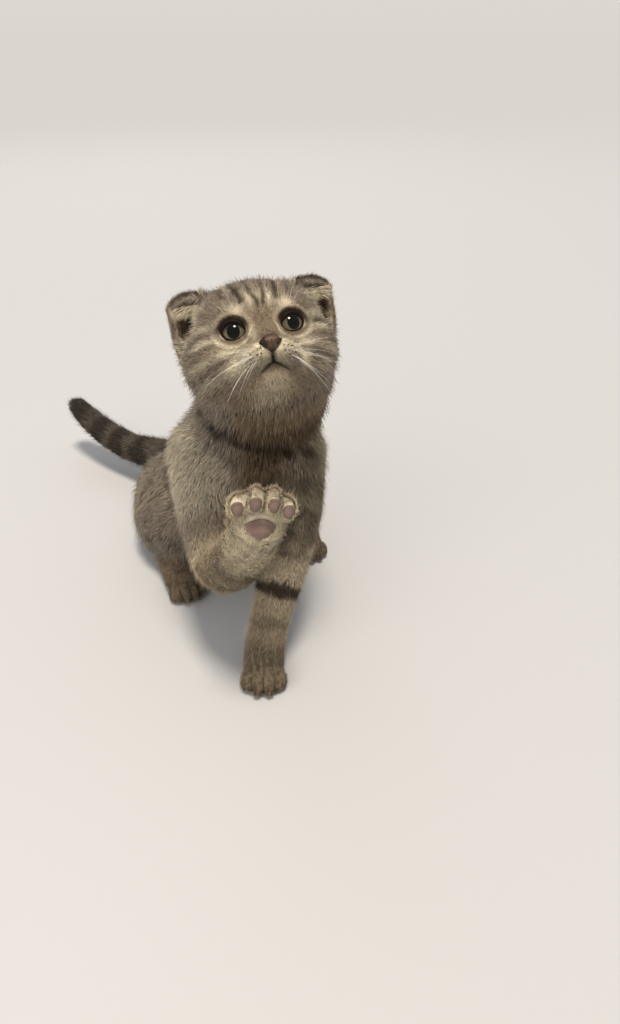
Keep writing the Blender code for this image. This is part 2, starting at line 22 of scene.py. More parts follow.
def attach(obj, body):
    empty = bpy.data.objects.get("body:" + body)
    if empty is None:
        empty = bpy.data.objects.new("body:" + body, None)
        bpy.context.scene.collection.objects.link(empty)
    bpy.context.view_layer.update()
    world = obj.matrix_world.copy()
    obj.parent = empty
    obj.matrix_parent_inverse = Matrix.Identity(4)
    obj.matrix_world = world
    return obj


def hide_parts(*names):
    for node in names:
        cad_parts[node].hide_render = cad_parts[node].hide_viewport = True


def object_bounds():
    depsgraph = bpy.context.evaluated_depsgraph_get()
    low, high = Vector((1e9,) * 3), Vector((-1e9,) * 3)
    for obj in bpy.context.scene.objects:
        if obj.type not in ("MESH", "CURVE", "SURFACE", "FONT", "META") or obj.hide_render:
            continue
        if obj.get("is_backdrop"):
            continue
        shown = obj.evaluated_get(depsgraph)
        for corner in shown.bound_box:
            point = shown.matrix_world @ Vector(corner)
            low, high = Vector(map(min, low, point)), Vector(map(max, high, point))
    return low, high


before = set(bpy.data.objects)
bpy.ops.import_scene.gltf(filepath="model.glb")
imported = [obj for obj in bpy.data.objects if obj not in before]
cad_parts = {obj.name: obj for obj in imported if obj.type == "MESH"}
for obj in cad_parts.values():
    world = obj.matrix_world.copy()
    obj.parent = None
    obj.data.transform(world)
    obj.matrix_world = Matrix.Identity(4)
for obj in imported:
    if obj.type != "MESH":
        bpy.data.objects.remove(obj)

cad_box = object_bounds()
print("frame nodes:", ", ".join(sorted(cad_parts)))

# %% [markdown]
# ## Three small helpers
#
# Colours are picked as sRGB hex values, the way a paint program shows them, but Blender mixes light
# in linear values, so one function turns the one into the other. One function adds a node with its
# settings and links. One selects just what the next operator should act on, because an operator acts
# on everything that is selected.

# %% Helpers for colours, nodes and selection
MM = 0.001


def linear(hex_colour):
    """An sRGB hex colour as linear red, green, blue and alpha."""
    parts = [int(hex_colour[i:i + 2], 16) / 255.0 for i in (1, 3, 5)]
    return tuple(c / 12.92 if c <= 0.04045 else ((c + 0.055) / 1.055) ** 2.4 for c in parts) + (1.0,)


def add_node(tree, kind, settings=None, **inputs):
    """Adds a node, sets its properties, and fills its inputs with values, nodes or other nodes' outputs."""
    node = tree.nodes.new(kind)
    for name, value in (settings or {}).items():
        setattr(node, name, value)
    open_inputs = [socket for socket in node.inputs if socket.enabled]
    for name, value in inputs.items():
        if name[1:].isdigit():
            socket = open_inputs[int(name[1:])]
        else:
            socket = next(s for s in open_inputs if s.name == name.replace("_", " "))
        if isinstance(value, bpy.types.Node):
            value = next(s for s in value.outputs if s.enabled)
        if isinstance(value, bpy.types.NodeSocket):
            tree.links.new(value, socket)
        else:
            socket.default_value = value
    return node


def select_only(*objects):
    """Selects these objects and nothing else, and makes the first one active."""
    bpy.ops.object.select_all(action="DESELECT")
    for obj in objects:
        obj.select_set(True)
    bpy.context.view_layer.objects.active = objects[0]


def apply_modifier(obj, kind, **settings):
    """Adds a modifier with these settings and applies it."""
    modifier = obj.modifiers.new(kind.title(), kind)
    for name, value in settings.items():
        setattr(modifier, name, value)
    select_only(obj)
    bpy.ops.object.modifier_apply(modifier=modifier.name)


# %% [markdown]
# ## Where the head and the hips point
#
# Every feature of the face is placed in the head's own axes: how far ahead, how far to the kitten's
# left and how far up, in millimetres from the middle of the skull. The head is turned, lifted and
# rolled a little, so these axes are worked out from three angles. The hips have axes of their own.

# %% Axes of the head and the hips
HEAD_CENTRE = (0.0545, -0.160, 0.2345)


def axes_frame(centre, yaw, pitch, roll):
    """A matrix whose X runs forward, Y to the kitten's left and Z up, for these angles in degrees."""
    yaw, pitch, roll = (math.radians(angle) for angle in (yaw, pitch, roll))
    forward = Vector((math.sin(yaw) * math.cos(pitch), -math.cos(yaw) * math.cos(pitch), math.sin(pitch)))
    left = Vector((math.cos(yaw), math.sin(yaw), 0.0))
    up = forward.cross(left)
    rolled_left = left * math.cos(roll) + up * math.sin(roll)
    rolled_up = up * math.cos(roll) - left * math.sin(roll)
    matrix = Matrix((forward, rolled_left, rolled_up)).transposed().to_4x4()
    matrix.translation = centre
    return matrix


HEAD = axes_frame(Vector(HEAD_CENTRE), 11.0, 37.0, 5.0)
HIPS = axes_frame(Vector((0.0, 0.0, 0.0)), 27.0, 0.0, 0.0)


def into(matrix, points):
    """World points as millimetres in a matrix's own axes."""
    inverse = np.array(matrix.inverted())
    return (np.asarray(points) @ inverse[:3, :3].T + inverse[:3, 3]) / MM


def out_of(matrix, points_mm):
    """Millimetres in a matrix's axes as world points."""
    forward = np.array(matrix)
    return (np.asarray(points_mm, float) * MM) @ forward[:3, :3].T + forward[:3, 3]


def turned(matrix, ways):
    """Directions in a matrix's axes as world directions."""
    return np.asarray(ways, float) @ np.array(matrix)[:3, :3].T


def unit(ways):
    """The same directions at length one."""
    return ways / np.maximum(np.linalg.norm(ways, axis=-1, keepdims=True), 1e-9)


def eased(values, low, high):
    """0 below low, 1 above high and a smooth rise between."""
    t = np.clip((values - low) / (high - low), 0.0, 1.0)
    return t * t * (3.0 - 2.0 * t)


print("head looks along", [round(v, 3) for v in HEAD.col[0][:3]])

# %% [markdown]
# ## Camera, floor and light
#
# The photograph was taken from above and in front with a phone held about 0.4 m above the floor,
# looking down 33 degrees. The round bright spots in both eyes and the dark under the chin say that
# the main light hangs almost overhead, so the studio key does too: a sun lamp wide enough for soft
# shadows, with weak panels that don't show in the wet eyes. The floor is flat for 22 m round and
# then turns up slowly, like the paper sweep of a photo studio, so that no hard horizon shows.

# %% Camera, floor and lights
CAMERA_PLACE = (0.085, -0.600, 0.400)
CAMERA_DOWN = 32.7
CAMERA_LENS = 27.42
SUBJECT = Vector((0.03, -0.12, 0.13))

bpy.ops.object.camera_add(location=CAMERA_PLACE, rotation=(math.radians(90.0 - CAMERA_DOWN), 0.0, 0.0))
camera = bpy.context.object
camera.name = "camera"
camera.data.sensor_width = 36.0
camera.data.lens = CAMERA_LENS
camera.data.dof.use_dof = False
camera.data.clip_start = 0.02
bpy.context.scene.camera = camera

FLOOR_HALF = 60.0
FLOOR_FLAT = 22.0
SWEEP_HEIGHT = 14.0
bpy.ops.mesh.primitive_grid_add(x_subdivisions=80, y_subdivisions=80, size=2.0 * FLOOR_HALF)
floor = bpy.context.object
floor.name = "floor"
for point in floor.data.vertices:
    beyond = (point.co.xy.length - FLOOR_FLAT) / (FLOOR_HALF - FLOOR_FLAT)
    point.co.z = SWEEP_HEIGHT * max(beyond, 0.0) ** 2
floor.data.shade_smooth()
paper = bpy.data.materials.new("matt paper floor")
paper.use_nodes = True
paper.node_tree.nodes["Principled BSDF"].inputs["Base Color"].default_value = linear("#b6b7b9")
paper.node_tree.nodes["Principled BSDF"].inputs["Roughness"].default_value = 0.85
floor.data.materials.append(paper)
floor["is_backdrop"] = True


KEY_FROM = Vector((0.07, -0.20, 0.95))
bpy.ops.object.light_add(type="SUN", location=SUBJECT + KEY_FROM)
key = bpy.context.object
key.name = "overhead key"
key.rotation_euler = KEY_FROM.to_track_quat("Z", "Y").to_euler()
key.data.angle = math.radians(14.0)
key.data.energy = 3.2
key.data.color = linear("#fff3e2")[:3]


def add_panel(name, place, size, power, colour):
    """A round soft light that faces the kitten and isn't seen in its eyes."""
    bpy.ops.object.light_add(type="AREA", location=place)
    panel = bpy.context.object
    panel.name = name
    panel.rotation_euler = (SUBJECT - Vector(place)).to_track_quat("-Z", "Y").to_euler()
    panel.data.shape = "DISK"
    panel.data.size = size
    panel.data.energy = power
    panel.data.color = linear(colour)[:3]
    panel.visible_glossy = False


add_panel("front fill", (-0.55, -1.10, 0.75), 1.0, 6.5, "#fff6ea")
add_panel("back fill", (-0.50, 1.90, 1.70), 1.8, 8.0, "#f4f6ff")
world = bpy.data.worlds.new("pale studio")
world.use_nodes = True
world.node_tree.nodes["Background"].inputs["Color"].default_value = linear("#f6f6f7")
world.node_tree.nodes["Background"].inputs["Strength"].default_value = 0.52
bpy.context.scene.world = world
bpy.context.scene.view_settings.view_transform = "Standard"
print("camera", CAMERA_PLACE, "looking down", CAMERA_DOWN, "degrees")

# %% [markdown]
# ## The places of the face
#
# A cat's face is read from a few places: the eyes, the line of the mouth, the split below the nose
# and the hollow of each ear. They are named once here, in millimetres in the head's axes, and the
# skin, the coat, its markings and the modelled pieces all use them. The ears lean out a little.

# %% Places of the face
EYE_RADIUS = 9.2
EYE_CENTRE = (23.6, 15.3, 1.2)
EYE_TURN_OUT = 11.0
EYE_TURN_UP = 3.0
LID_HALF = (7.0, 5.9)
MUZZLE_SIDE = 0.9
NOSE_TIP = (46.0, MUZZLE_SIDE, -11.6)
MOUTH_LINE = ((0.0, -21.0), (2.8, -22.2), (5.2, -23.8), (7.4, -25.4))
PHILTRUM = ((0.0, -15.6), (0.0, -18.0), (0.0, -21.2))
EAR_SIDE = {-1: 36.0, 1: 38.5}
EAR_LEAN = 8.0
EAR_CUP = ((-5.0, -1.5, 19.0), (9.0, 11.5, 15.0))
EAR_HOLLOW = ((6.0, 1.0, 16.5), (12.5, 7.2, 9.0))
EAR_FLAP = ((-0.5, -13.5, 31.2), (1.0, -6.5, 33.3), (0.5, 1.5, 33.5), (-1.5, 7.5, 31.7), (-4.0, 10.5, 28.5))
EAR_WALL = ((-4.5, 9.2, 28.5), (-5.0, 9.2, 20.0), (-6.0, 8.8, 11.0), (-7.0, 7.0, 3.0))
EAR_RIM = ((3.4, -13.5, 28.9), (6.0, -6.5, 30.4), (5.7, 1.5, 30.5), (3.3, 7.5, 28.9), (-0.1, 10.5, 26.2),
           (1.5, 9.2, 20.0), (0.5, 8.8, 11.0), (-1.5, 7.0, 3.0))


def eye_matrix(side):
    """The axes of one eye: X looks out of it. Side is +1 on the kitten's left and -1 on its right."""
    centre = Vector((EYE_CENTRE[0], side * EYE_CENTRE[1], EYE_CENTRE[2])) * MM
    turn = Matrix.Rotation(math.radians(side * EYE_TURN_OUT), 4, "Z")
    lift = Matrix.Rotation(math.radians(-EYE_TURN_UP), 4, "Y")
    return HEAD @ Matrix.Translation(centre) @ turn @ lift


def lid_ratio(points, side):
    """How far out from the eye's middle each point is, where 1 is the edge of the lids, and how far ahead."""
    local = into(eye_matrix(side), points)
    across, over = local[:, 1] / LID_HALF[0], local[:, 2] / LID_HALF[1]
    return np.hypot(across, over), local[:, 0]


def ear_line(side, line):
    """A line given from the middle of one ear, as places in the head's axes."""
    return [(ahead, side * (EAR_SIDE[side] + out), up) for ahead, out, up in line]


def in_ear_ball(local, centre, radii, side):
    """How far out each head point is in a leaning ellipsoid of one ear, where 1 is on it."""
    offset = local - np.array(ear_line(side, [centre])[0])
    angle = math.radians(side * -EAR_LEAN)
    across = offset[:, 1] * math.cos(angle) + offset[:, 2] * math.sin(angle)
    over = offset[:, 2] * math.cos(angle) - offset[:, 1] * math.sin(angle)
    return np.sqrt((offset[:, 0] / radii[0]) ** 2 + (across / radii[1]) ** 2 + (over / radii[2]) ** 2)


def distance_to_line(points, line):
    """Distance from each point to a line through the given places, in the units of both."""
    line = np.asarray(line, float)
    nearest = np.full(len(points), np.inf)
    for start, end in zip(line, line[1:]):
        step = end - start
        share = np.clip(((points - start) @ step) / (step @ step), 0.0, 1.0)
        nearest = np.minimum(nearest, np.linalg.norm(points - start - share[:, None] * step, axis=1))
    return nearest


def folded(local):
    """Head points with the right side laid over the left; the muzzle's own middle lies a little to the left."""
    both = local.copy()
    both[:, 1] = np.abs(both[:, 1] - MUZZLE_SIDE * eased(both[:, 0], 24.0, 34.0))
    return both


def mouth_distance(local):
    """Distance in millimetres to the line of the mouth and the split above it, seen from the front."""
    flat = folded(local)[:, 1:3]
    return np.minimum(distance_to_line(flat, MOUTH_LINE), distance_to_line(flat, PHILTRUM))


# %% [markdown]
# ## The paws
#
# A paw is a pad mass with four toes in a row. Each paw has axes of its own, X towards the toes and Z
# out of its back, with its length, width and height in millimetres. The partings between the toes
# fold the skin and darken the coat there as painted shade in the creases; the paws' axes also say
# where the claws and the pads of the raised palm go.

# %% Places of the paws
TOES = ((-0.345, 0.10, 0.86), (-0.125, 0.22, 1.0), (0.125, 0.22, 1.0), (0.345, 0.10, 0.86))
TOE_GAPS = (-0.235, 0.0, 0.235)
_toes = Vector((0.22, -0.32, 0.93)).normalized()
_palm = Vector((0.10, -0.93, -0.36))
_palm = (_palm - _toes * _palm.dot(_toes)).normalized()
RAISED = Matrix((_toes, (-_palm).cross(_toes), -_palm)).transposed().to_4x4()
RAISED.translation = (0.0575, -0.2310, 0.1565)
PAWS = {
    "forepaw_left": (axes_frame((0.0525, -0.2000, 0.0), 2.0, 0.0, 0.0), (36.0, 34.0, 21.0)),
    "forepaw_right": (RAISED, (38.0, 43.0, 24.0)),
    "hindpaw_left": (HIPS @ Matrix.Translation((0.0795, 0.0535, 0.0)), (32.0, 31.0, 20.0)),
    "hindpaw_right": (HIPS @ Matrix.Translation((0.0835, -0.0600, 0.0)), (32.0, 31.0, 20.0)),
}


def toe_partings(points):
    """1 in the middle of the folds between the toes, and 0 away from them."""
    fold = np.zeros(len(points))
    for matrix, (length, width, height) in PAWS.values():
        local = into(matrix, points)
        inside = (np.abs(local[:, 1]) < 0.6 * width) & (np.abs(local[:, 2] - 0.4 * height) < 0.9 * height)
        reach = eased(local[:, 0], 0.02 * length, 0.22 * length) * inside * (local[:, 0] < 0.7 * length)
        for share in TOE_GAPS:
            fold = np.maximum(fold, np.exp(-((local[:, 1] - share * width) / 0.9) ** 2) * reach)
    return fold


print("eye middles at", [tuple(round(v, 4) for v in eye_matrix(s).translation) for s in (-1, 1)])

# %% [markdown]
# ## The lie of the coat
#
# Hair grows along the body: back from the nose over the head, down the neck and the back, down the
# legs to the toes and out along the tail. Each stretch of the kitten has a guide here, a line that
# its hair follows, with how far the guide reaches and how long the hair is there. A point on the
# skin takes a blend of the guides near it, so that length and direction change smoothly. The skin
# lies inside the solids by the depth of the coat, which is the hair's length times how far it
# stands up.

# %% Guides for the lie and length of the hair
STAND = 0.42
GUIDES = {
    "nape": (((0.058, -0.120, 0.235), (0.052, -0.100, 0.195), (0.042, -0.080, 0.155)), 0.040, 11.0),
    "back": (((0.046, -0.098, 0.150), (0.022, -0.044, 0.095), (0.006, -0.004, 0.065), (-0.012, 0.050, 0.040)),
             0.044, 12.5),
    "throat": (((0.060, -0.185, 0.200), (0.054, -0.160, 0.165), (0.047, -0.135, 0.120)), 0.036, 12.0),
    "chest": (((0.047, -0.128, 0.115), (0.036, -0.108, 0.080), (0.018, -0.060, 0.036)), 0.034, 12.0),
    "tail": (((-0.034, 0.055, 0.038), (-0.064, 0.076, 0.034), (-0.092, 0.094, 0.031),
              (-0.120, 0.115, 0.035), (-0.144, 0.136, 0.043), (-0.170, 0.158, 0.055)), 0.016, 9.5),
    "foreleg_left": (((0.073, -0.112, 0.140), (0.073, -0.136, 0.104), (0.067, -0.158, 0.074),
                      (0.0575, -0.178, 0.045), (0.0525, -0.188, 0.022)), 0.021, 6.5),
    "forepaw_left": (((0.0525, -0.190, 0.016), (0.0520, -0.215, 0.008)), 0.016, 2.4),
    "foreleg_right": (((0.010, -0.108, 0.134), (0.016, -0.140, 0.107), (0.0255, -0.172, 0.085),
                       (0.0385, -0.195, 0.104), (0.0485, -0.211, 0.128), (0.053, -0.218, 0.142)), 0.021, 6.5),
    "forepaw_right": (((0.0545, -0.222, 0.148), (0.062, -0.240, 0.172)), 0.018, 3.4),
}
for _side, _name in ((-1.0, "right"), (1.0, "left")):
    _thigh = out_of(HIPS, ((-30.0, _side * 34.0, 62.0), (4.0, _side * 52.0, 44.0), (20.0, _side * 56.0, 16.0)))
    _shank = out_of(HIPS, ((52.0, _side * 50.0, 52.0), (46.0, _side * 54.0, 26.0)))
    _foot = out_of(HIPS, ((60.0, _side * 57.0, 10.0), (98.0, _side * 57.0, 6.0)))
    GUIDES["thigh_" + _name] = (_thigh, 0.036, 11.5)
    GUIDES["shank_" + _name] = (_shank, 0.024, 8.5)
    GUIDES["hindpaw_" + _name] = (_foot, 0.016, 2.6)
HEAD_REACH = 0.036
HEAD_HAIR = (2.0, 7.0)
EAR_HAIR = 3.8
GUIDE_SHARPNESS = 5.0


def nearest_on(points, line):
    """Distance to a line, and the direction that the line runs there."""
    line = np.asarray(line, float)
    best = np.full(len(points), np.inf)
    way = np.zeros((len(points), 3))
    for start, end in zip(line, line[1:]):
        step = end - start
        share = np.clip(((points - start) @ step) / (step @ step), 0.0, 1.0)
        distance = np.linalg.norm(points - start - share[:, None] * step, axis=1)
        nearer = distance < best
        best[nearer] = distance[nearer]
        way[nearer] = step / np.linalg.norm(step)
    return best, way


def ear_share(local):
    """1 on the ears and 0 on the rest of the head."""
    share = np.zeros(len(local))
    for side in (-1, 1):
        flap = 1.0 - eased(distance_to_line(local, ear_line(side, EAR_FLAP)), 6.0, 8.5)
        wall = 1.0 - eased(distance_to_line(local, ear_line(side, EAR_WALL)), 5.5, 8.0)
        cup = 1.0 - eased(in_ear_ball(local, *EAR_CUP, side), 1.05, 1.25)
        share = np.maximum.reduce((share, flap, wall, cup))
    skull = np.linalg.norm((local - (-6.0, 0.0, 8.0)) / (41.0, 44.0, 31.5), axis=1)
    return share * eased(skull, 0.97, 1.06)


def ear_ways(local):
    """The lie of the hair on the ears: up the back and the wall, and forward and down over the fold."""
    ways = np.zeros((len(local), 3)) + (0.25, 0.0, 0.97)
    fold = eased(local[:, 0], -5.0, 2.0) * eased(local[:, 2], 25.0, 29.0)
    return unit(ways * (1.0 - fold)[:, None] + np.array((0.86, 0.0, -0.38)) * fold[:, None])


def coat_fields(points):
    """For each point: the direction of the lie, and the length of the hair in millimetres."""
    local = into(HEAD, points)
    nose_gap = np.linalg.norm(local - np.array(NOSE_TIP), axis=1)
    head_length = HEAD_HAIR[0] + (HEAD_HAIR[1] - HEAD_HAIR[0]) * eased(nose_gap, 8.0, 78.0)
    core, _ = nearest_on(local, ((-8.0, 0.0, 2.0), (16.0, 0.0, -8.0)))
    weight = (core * MM / HEAD_REACH + 0.02) ** -GUIDE_SHARPNESS
    ways = unit(points - out_of(HEAD, NOSE_TIP)) * weight[:, None]
    lengths = head_length * weight
    total = weight.copy()
    for line, reach, length in GUIDES.values():
        distance, way = nearest_on(points, line)
        weight = (distance / reach + 0.02) ** -GUIDE_SHARPNESS
        ways += way * weight[:, None]
        lengths += length * weight
        total += weight
    lengths /= total
    ears = ear_share(local)[:, None]
    ways = unit(ways) * (1.0 - ears) + turned(HEAD, ear_ways(local)) * ears
    lengths = lengths * (1.0 - ears[:, 0]) + EAR_HAIR * ears[:, 0]
    for side in (-1, 1):
        ratio, ahead = lid_ratio(points, side)
        near = (1.0 - eased(ratio, 1.0, 2.1)) * eased(ahead, 0.0, 7.0)
        away = unit(points - np.array(eye_matrix(side).translation))
        ways = unit(ways) + away * (1.6 * near)[:, None]
        lengths = lengths * (1.0 - 0.62 * near)
    lengths *= 0.45 + 0.55 * eased(mouth_distance(local), 0.5, 3.0)
    return unit(ways), lengths


print(len(GUIDES), "guides, hair from", HEAD_HAIR[0], "to", max(g[2] for g in GUIDES.values()), "mm")

# %% [markdown]
# ## The skin
#
# The skin is one closed surface for the whole animal, so that no seam shows where the solids are
# parted. Copies of the flesh nodes are swollen by a third of a millimetre so that they overlap, and a
# voxel remesh then wraps them in one even net. It is smoothed, more on the plain body than on the
# face and paws, thinned where it is flat, and sunk inwards by the depth of the coat at each point.

# %% One skin over all the flesh
APART = ("nose", "eye_left", "eye_right")
FLESH = sorted(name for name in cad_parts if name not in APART)
OVERLAP = 0.35 * MM
SKIN_VOXEL = 1.4 * MM
SKIN_KEPT = 0.57
DETAIL_LENGTH = 7.0
bpy.ops.object.select_all(action="DESELECT")


def flesh_copy(name):
    """A merged, slightly swollen copy of one node's mesh."""
    copy = bpy.data.objects.new("flesh_" + name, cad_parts[name].data.copy())
    bpy.context.scene.collection.objects.link(copy)
    mesh = bmesh.new()
    mesh.from_mesh(copy.data)
    bmesh.ops.remove_doubles(mesh, verts=mesh.verts, dist=0.01 * MM)
    mesh.normal_update()
    for vert, normal in [(vert, vert.normal.copy()) for vert in mesh.verts]:
        vert.co += normal * OVERLAP
    mesh.to_mesh(copy.data)
    mesh.free()
    return copy


def vertex_array(obj, name="co"):
    """The mesh's points or normals as rows of a numpy array."""
    values = np.empty(len(obj.data.vertices) * 3, np.float32)
    if name == "co":
        obj.data.vertices.foreach_get("co", values)
    else:
        obj.data.vertex_normals.foreach_get("vector", values)
    return values.reshape(-1, 3).astype(float)


def set_points(obj, points):
    """Moves the mesh's points."""
    obj.data.vertices.foreach_set("co", np.ascontiguousarray(points, np.float32).ravel())
    obj.data.update()


flesh = [flesh_copy(name) for name in FLESH]
select_only(*flesh)
bpy.ops.object.join()
skin = bpy.context.object
skin.name = "skin"
apply_modifier(skin, "REMESH", mode="VOXEL", voxel_size=SKIN_VOXEL)
skin.vertex_groups.clear()
lengths = coat_fields(vertex_array(skin))[1]
plain = skin.vertex_groups.new(name="plain")
for index in np.nonzero(lengths > DETAIL_LENGTH)[0]:
    plain.add([int(index)], 1.0, "REPLACE")
apply_modifier(skin, "SMOOTH", factor=0.5, iterations=3)
apply_modifier(skin, "SMOOTH", factor=0.6, iterations=40, vertex_group="plain")
apply_modifier(skin, "DECIMATE", ratio=SKIN_KEPT)
print("skin:", len(skin.data.polygons), "faces")

# %% [markdown]
# ## Folds of the face
#
# On the face the hair is short, so the shapes under it show: the brow over each eye, the hollow at
# the inner corner, the whisker pads, the chin and the cheeks, and the line of the mouth as a groove.
# The net is made finer there, and each fold is a soft push or pull along the surface's own normals,
# strongest at its middle, as a thumb would do in clay.

# %% Sink the skin and shape the face
FOLDS = (
    ("brow", 12.0, 11.0, 8.0, 3.0, 1.0),
    ("inner corner", 7.0, -2.2, 2.4, 3.4, -0.8),
    ("bridge", 0.0, -2.0, 3.2, 6.0, 0.5),
    ("whisker pad", 7.6, -16.5, 5.2, 4.2, 1.0),
    ("pad edge", 14.6, -14.0, 1.8, 5.5, -0.5),
    ("chin", 0.0, -28.6, 6.5, 3.4, 1.0),
    ("cheek", 26.0, -15.0, 8.0, 8.0, 0.8),
    ("under the eye", 17.0, -8.4, 6.0, 2.0, 0.6),
)
MOUTH_DEPTH = 1.7
MOUTH_WIDTH = 1.0
FACE_AHEAD = 20.0
TOE_FOLD = 1.5


def face_push(local):
    """How far the face stands out from the plain head at each point, in millimetres."""
    push = np.zeros(len(local))
    half_face = folded(local)
    for _, across, over, wide, high, amount in FOLDS:
        reach = ((half_face[:, 1] - across) / wide) ** 2 + ((local[:, 2] - over) / high) ** 2
        push += amount * np.exp(-reach)
    push -= MOUTH_DEPTH * np.exp(-(mouth_distance(local) / MOUTH_WIDTH) ** 2)
    return push * eased(local[:, 0], FACE_AHEAD, FACE_AHEAD + 8.0)


local = into(HEAD, vertex_array(skin))
fine = (local[:, 0] > FACE_AHEAD) & (np.abs(local[:, 1]) < 27.0) & (local[:, 2] > -34.0) & (local[:, 2] < 14.0)
fine |= toe_partings(vertex_array(skin)) > 0.02
mesh = bmesh.new()
mesh.from_mesh(skin.data)
face_edges = [edge for edge in mesh.edges if fine[edge.verts[0].index] and fine[edge.verts[1].index]]
bmesh.ops.subdivide_edges(mesh, edges=face_edges, cuts=1, use_grid_fill=True)
bmesh.ops.triangulate(mesh, faces=mesh.faces)
mesh.to_mesh(skin.data)
mesh.free()

points = vertex_array(skin)
normals = vertex_array(skin, "normal")
depth = coat_fields(points)[1] * STAND
for side in (-1, 1):
    ratio, ahead = lid_ratio(points, side)
    depth *= 1.0 - (1.0 - eased(ratio, 1.05, 1.9)) * eased(ahead, 0.0, 7.0)
depth *= 1.0 - 0.6 * ear_share(into(HEAD, points))
push = face_push(into(HEAD, points)) - TOE_FOLD * toe_partings(points) - depth
points = points + normals * (push * MM)[:, None]
points[:, 2] = np.maximum(points[:, 2], 0.0004)
set_points(skin, points)
apply_modifier(skin, "SMOOTH", factor=0.5, iterations=2)
skin.vertex_groups.clear()
skin.data.shade_smooth()
print("skin:", len(skin.data.polygons), "triangles, sunk", depth.min().round(2), "to", depth.max().round(2), "mm")

# %% [markdown]
# ## An unwrap of the skin
#
# Every tuft gets a small patch of texture at its root's place, so that each keeps its own colour.
# That place comes from an unwrap of the skin's own shape. Smart UV Project cuts the skin into
# islands by the way its faces point, which is quick and leaves no overlaps.

# %% Unwrap the skin
BAKE_MAP = "OFBake"
select_only(skin)
skin.data.uv_layers.new(name=BAKE_MAP)
bpy.ops.object.mode_set(mode="EDIT")
bpy.ops.mesh.select_all(action="SELECT")
bpy.ops.uv.smart_project(angle_limit=math.radians(66.0), island_margin=0.003)
bpy.ops.object.mode_set(mode="OBJECT")
uv_values = np.empty(len(skin.data.loops) * 2, np.float32)
skin.data.uv_layers[BAKE_MAP].data.foreach_get("uv", uv_values)
skin_uv = uv_values.reshape(-1, 3, 2)
skin.data.calc_loop_triangles()
triangle_points = np.empty(len(skin.data.loop_triangles) * 3, np.int32)
skin.data.loop_triangles.foreach_get("vertices", triangle_points)
triangle_points = triangle_points.reshape(-1, 3)
skin_points = vertex_array(skin)
skin_tree = BVHTree.FromPolygons(skin_points.tolist(), triangle_points.tolist())
print("unwrap spans", skin_uv.min().round(3), "to", skin_uv.max().round(3))

# %% [markdown]
# ## The tabby markings and painted shade
#
# A tabby's markings are one pattern on skin and coat alike, so one function works them out for any
# point and both use it: how dark, how pale and how warm the coat is there. Stripes follow lines that
# are named in the head's axes, rings follow the length of the tail and legs, and the flanks carry
# broken bars across the body. A little slow noise makes their edges waver, as real ones do. The same
# function also lays painted shade into the dark: in the ear hollows, round the mouth, under the chin,
# between the toes and on the paws that stand on the floor.

# %% Markings and painted shade as functions of place
FOREHEAD_STRIPES = (
    (((31.0, 8.6, 7.0), (28.0, 8.8, 13.0), (22.0, 9.8, 22.0), (10.0, 10.5, 33.0), (-6.0, 10.0, 39.0)), 1.9, 0.85),
    (((32.0, 1.8, 10.0), (27.0, 3.0, 19.0), (14.0, 4.2, 32.0), (-6.0, 4.2, 40.0)), 1.4, 0.7),
    (((25.0, 16.0, 16.0), (15.0, 17.0, 27.0), (2.0, 16.5, 35.0)), 1.9, 0.6),
    (((17.0, 26.0, 13.0), (8.0, 26.5, 23.0), (-4.0, 25.0, 31.0)), 1.9, 0.5),
)
CHEEK_STRIPES = (
    (((30.0, 24.5, 1.8), (22.0, 33.0, 0.6), (14.0, 40.5, -3.0), (4.0, 44.5, -9.0)), 1.3, 0.62),
    (((26.0, 29.0, -5.5), (18.0, 36.0, -9.5), (8.0, 42.0, -14.5)), 1.3, 0.5),
    (((28.0, 24.0, -13.0), (18.0, 34.0, -17.5), (8.0, 41.0, -22.0)), 1.5, 0.52),
    (((24.0, 21.0, -24.0), (14.0, 31.0, -27.0), (2.0, 38.0, -30.0)), 2.0, 0.32),
)
PALE_SPOTS = (
    ((38.0, 6.0, -14.0), (30.0, 4.6, 3.4), 1.0),
    ((36.0, 10.5, -15.8), (30.0, 8.5, 4.0), 1.0),
    ((32.0, 17.0, -17.5), (30.0, 6.0, 4.0), 0.9),
    ((27.0, 19.0, -9.8), (20.0, 8.5, 2.6), 0.95),
    ((29.0, 13.0, 11.3), (20.0, 4.5, 3.2), 0.85),
    ((32.0, 6.8, -4.2), (20.0, 2.2, 4.0), 0.75),
    ((29.0, 5.4, 15.5), (20.0, 1.7, 5.5), 0.8),
    ((26.0, 0.0, 16.0), (20.0, 1.1, 6.0), 0.45),
    ((12.0, 13.4, 28.0), (18.0, 1.5, 8.0), 0.5),
    ((22.0, 31.0, -2.5), (20.0, 6.5, 1.8), 0.85),
    ((22.0, 31.0, 6.0), (20.0, 7.0, 2.6), 0.55),
    ((14.0, 34.0, -12.5), (22.0, 7.0, 2.2), 0.55),
    ((14.0, 30.0, -21.0), (22.0, 7.0, 2.2), 0.35),
    ((30.0, 2.0, -31.0), (30.0, 9.0, 6.0), 0.5),
)
WARM_SPOTS = (
        ((22.0, 0.0, -44.0), (30.0, 36.0, 18.0), 0.9),
    ((28.0, 0.0, -4.0), (40.0, 40.0, 30.0), 0.42),
    ((30.0, 0.0, -31.0), (30.0, 20.0, 9.0), 0.8),
)
PALE_BAND = ((18.0, 30.0, 20.0), (14.0, 37.0, 12.0), (10.0, 41.0, 6.0), (6.0, 44.0, 0.0), (0.0, 46.0, -9.0))
TAIL_RINGS = ((0.0, 0.10, 0.55), (0.27, 0.055, 0.8), (0.45, 0.055, 0.85), (0.62, 0.05, 0.9), (0.92, 0.17, 1.0))
FORELEG_BARS = ((0.30, 0.04, 0.4), (0.50, 0.030, 0.4), (0.672, 0.030, 0.97), (0.83, 0.018, 0.45))
WHISKER_ROWS = ((0, 4), (1, 5), (2, 5))
BAR_SPACING = 0.017


